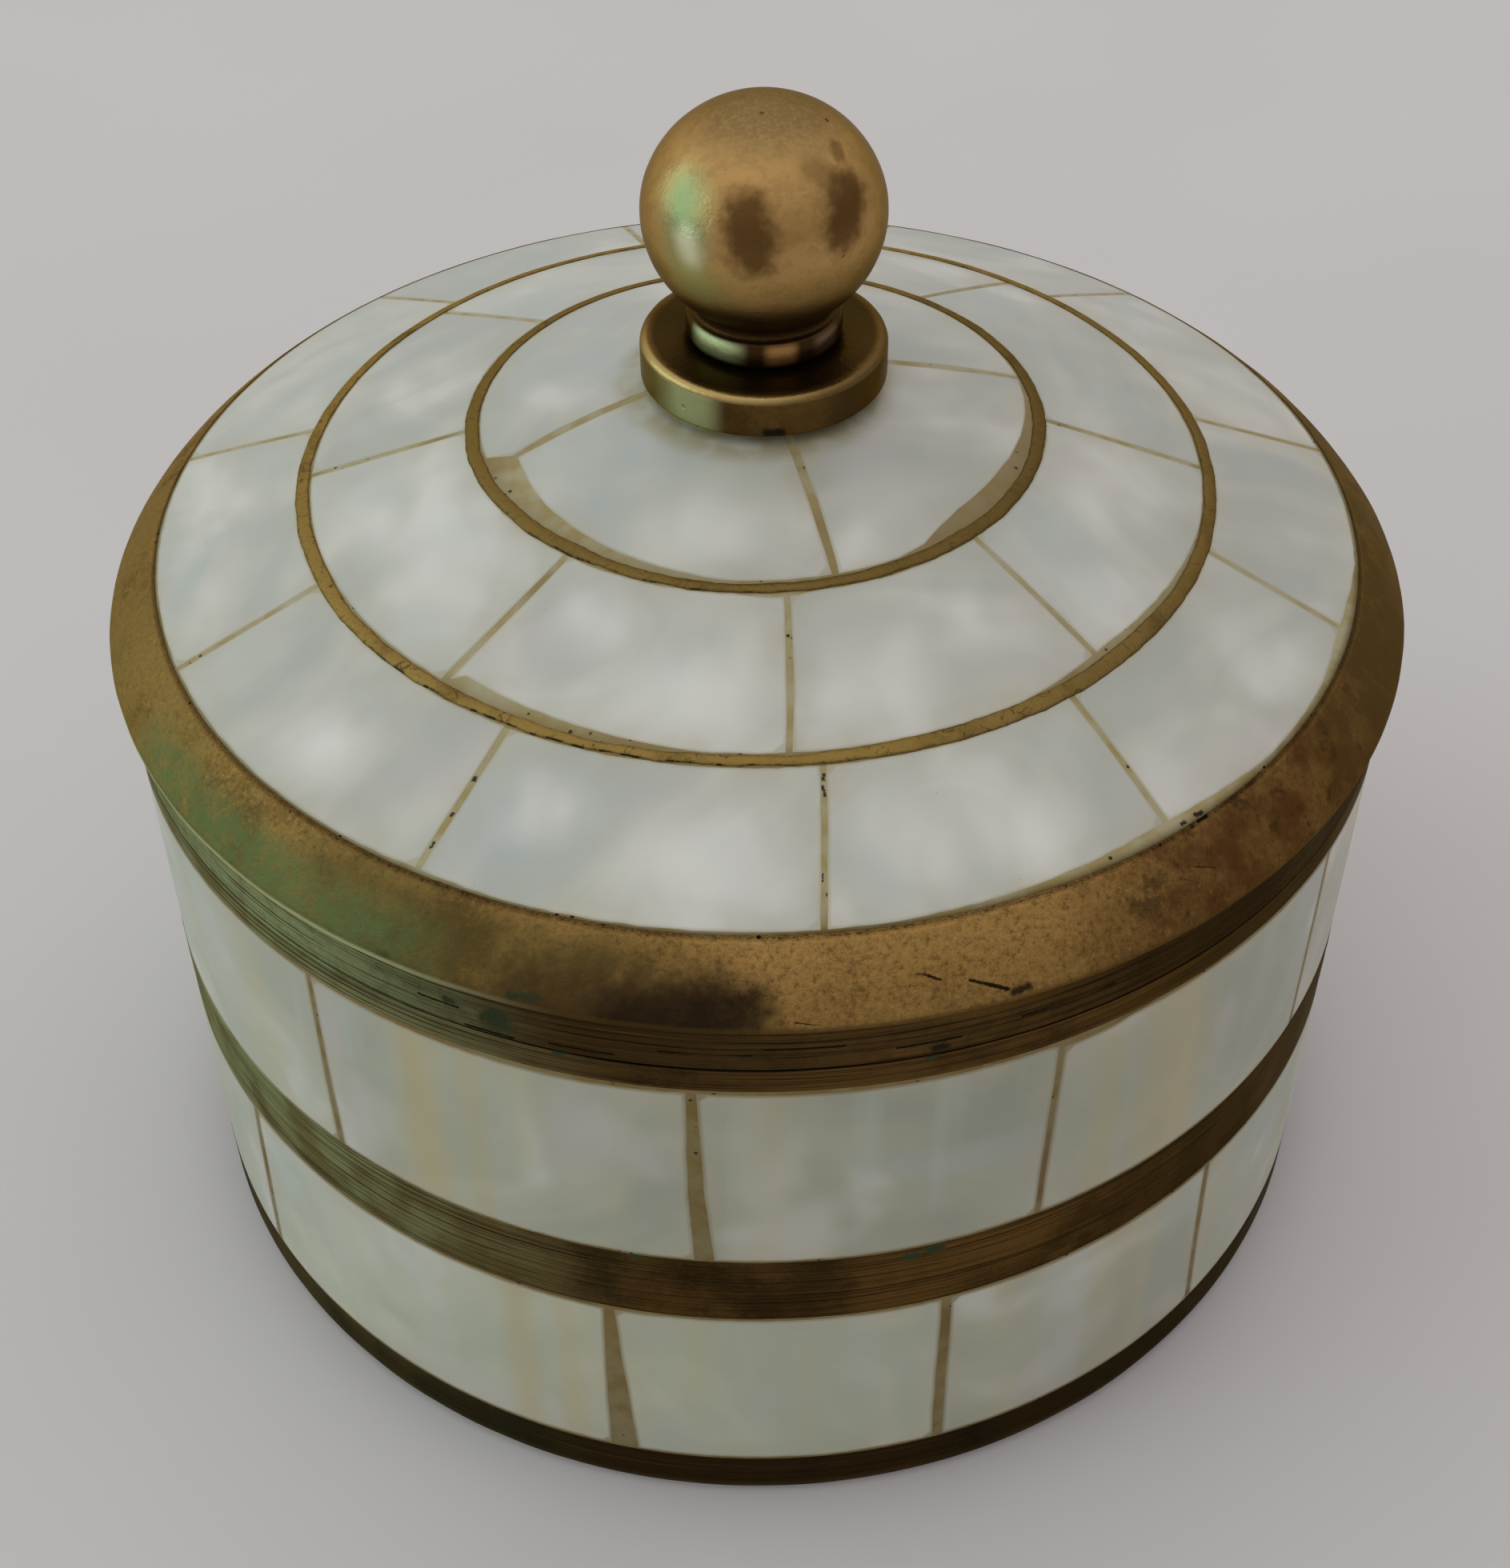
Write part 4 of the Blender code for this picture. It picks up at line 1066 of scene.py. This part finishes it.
# Silky bright patches in single tiles: angle, radius and size in millimetres
SHEEN = {
    "lid_middle_tile_03": ((-7, 18.6, 3.0), (-24, 16.2, 2.2)),
    "lid_middle_tile_04": ((16, 19.2, 3.0), (36, 17.0, 2.2)),
    "lid_middle_tile_02": ((-52, 19.6, 2.6), (-70, 18.0, 3.2)),
    "lid_inner_tile_01": ((-14, 10.4, 2.6),),
    "lid_inner_tile_02": ((26, 11.2, 2.4),),
    "lid_outer_tile_05": ((15, 25.6, 3.2), (26, 26.6, 2.4)),
    "lid_outer_tile_04": ((-20, 24.6, 2.2), (-6, 26.4, 2.6)),
    "lid_outer_tile_03": ((-44, 26.4, 2.4),),
    "lid_outer_tile_06": ((62, 26.0, 2.4),),
    "lid_middle_tile_05": ((70, 17.0, 2.6),),
}


def lid_face(v):
    return v, dome_height(v)


def add_lid_tiles():
    reach = 0.20 * MM
    circles = (
        ("outer", 11, RIM_INNER, OUTER_WIRE + reach, OUTER_RIM_MARKS, CLOSE),
        ("middle", 8, OUTER_WIRE - reach, INNER_WIRE + reach, MIDDLE_OUTER_MARKS, MIDDLE_INNER_MARKS),
        ("inner", 4, INNER_WIRE - reach, DISC_RADIUS - 1.0 * MM, INNER_OUTER_MARKS, CLOSE),
    )

    for circle, (label, count, outer, inner, low_marks, high_marks) in enumerate(circles):
        names = [f"lid_{label}_tile_{number:02d}" for number in range(1, count + 1)]
        for number, (node, sides) in enumerate(zip(names, seam_sides(names, False)), 1):
            glows = [(on_dome(angle, radius), size) for angle, radius, size in SHEEN.get(node, ())]
            smear = DISC_RADIUS / MM if label == "inner" else None
            seed, centre = 1000 + 100 * circle + number, GROWTH_CENTRES.get(node)
            material = shell_material(node, seed, centre=centre, sheen=glows, smear=smear)
            tile(node, number, count, sides, outer, inner, lid_face, low_marks, high_marks, material, "lid")


def add_wires():
    brass = wire_material()
    wire("outer_wire", OUTER_WIRE, OUTER_WIRE_WIDTHS, brass, 3.0, "lid_outer_wire")
    wire("inner_wire", INNER_WIRE, INNER_WIRE_WIDTHS, brass, 11.0, "lid_inner_wire")


def add_knob():
    bore = STUD_RADIUS + 0.3 * MM
    disc = [(bore, DISC_TOP, 0), (DISC_RADIUS - 1.2 * MM, DISC_TOP - 0.02 * MM, 0.3 * MM)]
    disc += [(DISC_RADIUS, DISC_TOP - 0.04 * MM, 0.42 * MM), (DISC_RADIUS, DISC_BOTTOM, 0.15 * MM), (bore, DISC_BOTTOM, 0)]
    place = {"steps": KNOB_STEPS, "centre": KNOB_X}
    outline = rounded(disc, steps=6)
    turned("disc", outline, disc_material(), "lid", "aged_brass", ["knob_disc"], wear=0.03 * MM, **place)
    waist = NECK_RADIUS - NECK_WAIST
    lowest = math.acos(waist / BALL_RADIUS)
    outline = []
    for i in range(65):
        turn = mix(math.pi / 2, -lowest, i / 64)
        outline.append((BALL_RADIUS * math.cos(turn), BALL_CENTRE + BALL_HALF_HEIGHT * math.sin(turn)))
    outline[0] = (0.0, BALL_TOP)
    foot, bead_top = DISC_TOP + 0.04 * MM, DISC_TOP + BEAD_HEIGHT
    outline.append((waist, bead_top + 0.1 * MM))
    for i in range(13):
        turn = math.pi * i / 12
        outline.append((waist + NECK_WAIST * math.sin(turn) ** 0.45, mix(bead_top, foot, (1 - math.cos(turn)) / 2)))
    stud_end, ease = low_of("ball_knob").z, 0.3 * MM
    outline += [(STUD_RADIUS, foot), (STUD_RADIUS, stud_end + ease), (STUD_RADIUS - ease, stud_end), (0.0, stud_end)]
    nodes, gold = ["ball_knob"], ball_material()
    turned("ball", outline, gold, "lid", "aged_brass", nodes, closed=False, wear=0.02 * MM, **place)


# ---------------------------------------------------------------- stage, light and camera


def add_floor():
    mesh = bpy.data.meshes.new("floor")
    half = 3.0
    mesh.from_pydata([(-half, -half, 0), (half, -half, 0), (half, half, 0), (-half, half, 0)], [], [(0, 1, 2, 3)])
    mesh.materials.append(floor_material())
    floor = bpy.data.objects.new("floor", mesh)
    bpy.context.scene.collection.objects.link(floor)


def add_area_light(name, place, aim, size, power, colour):
    data = bpy.data.lights.new(name, "AREA")
    data.shape = "RECTANGLE"
    data.size, data.size_y = size
    data.energy = power
    data.color = colour
    light = bpy.data.objects.new(name, data)
    light.location = place
    light.rotation_euler = (Vector(aim) - Vector(place)).to_track_quat("-Z", "Y").to_euler()
    light.visible_camera = False
    bpy.context.scene.collection.objects.link(light)


def add_lights():
    middle = (0, 0, 0.03)
    add_area_light("window", (-0.95, -0.06, 0.34), middle, (1.0, 0.62), 2.0, (0.60, 1.0, 0.98))
    world = bpy.data.worlds.new("room")
    bpy.context.scene.world = world
    world.use_nodes = True
    tree = world.node_tree
    background = tree.nodes["Background"]
    coords = tree.nodes.new("ShaderNodeTexCoord")
    lean = tree.nodes.new("ShaderNodeVectorMath")
    lean.operation = "DOT_PRODUCT"
    lean.inputs[1].default_value = (-0.20, 0.26, 0.945)
    ramp = tree.nodes.new("ShaderNodeValToRGB")
    ramp.color_ramp.elements[0].position = 0.40
    ramp.color_ramp.elements[0].color = (0.31, 0.28, 0.265, 1)
    ramp.color_ramp.elements[1].position = 0.98
    ramp.color_ramp.elements[1].color = (0.88, 0.85, 0.835, 1)
    share = tree.nodes.new("ShaderNodeMapRange")
    share.inputs[1].default_value = -1.0
    tree.links.new(coords.outputs["Generated"], lean.inputs[0])
    tree.links.new(lean.outputs["Value"], share.inputs[0])
    tree.links.new(share.outputs[0], ramp.inputs[0])
    tree.links.new(ramp.outputs[0], background.inputs["Color"])
    background.inputs["Strength"].default_value = 1.0


def add_camera():
    """A phone held above the box, a hand's width in front of it."""
    data = bpy.data.cameras.new("camera")
    data.lens = 53.49
    data.clip_start, data.clip_end = 0.005, 20
    camera = bpy.data.objects.new("camera", data)
    forward = Vector((-0.0205375, 0.7392266, -0.6731435))
    up = Vector((-0.0133931, 0.6730217, 0.7395015))
    right = forward.cross(up).normalized()
    up = right.cross(forward).normalized()
    turn = Matrix((right, up, -forward.normalized())).transposed()
    camera.matrix_world = Matrix.Translation((2.469 * MM, -93.506 * MM, 104.864 * MM)) @ turn.to_4x4()
    bpy.context.scene.collection.objects.link(camera)
    bpy.context.scene.camera = camera


bpy.context.scene.view_settings.view_transform = "Standard"
add_camera()
add_lights()
add_floor()
add_cup()
add_rings()
add_bands()
add_rim()
add_underside()
add_nut()
add_lid_resin()
add_lid_tiles()
add_wires()
add_knob()
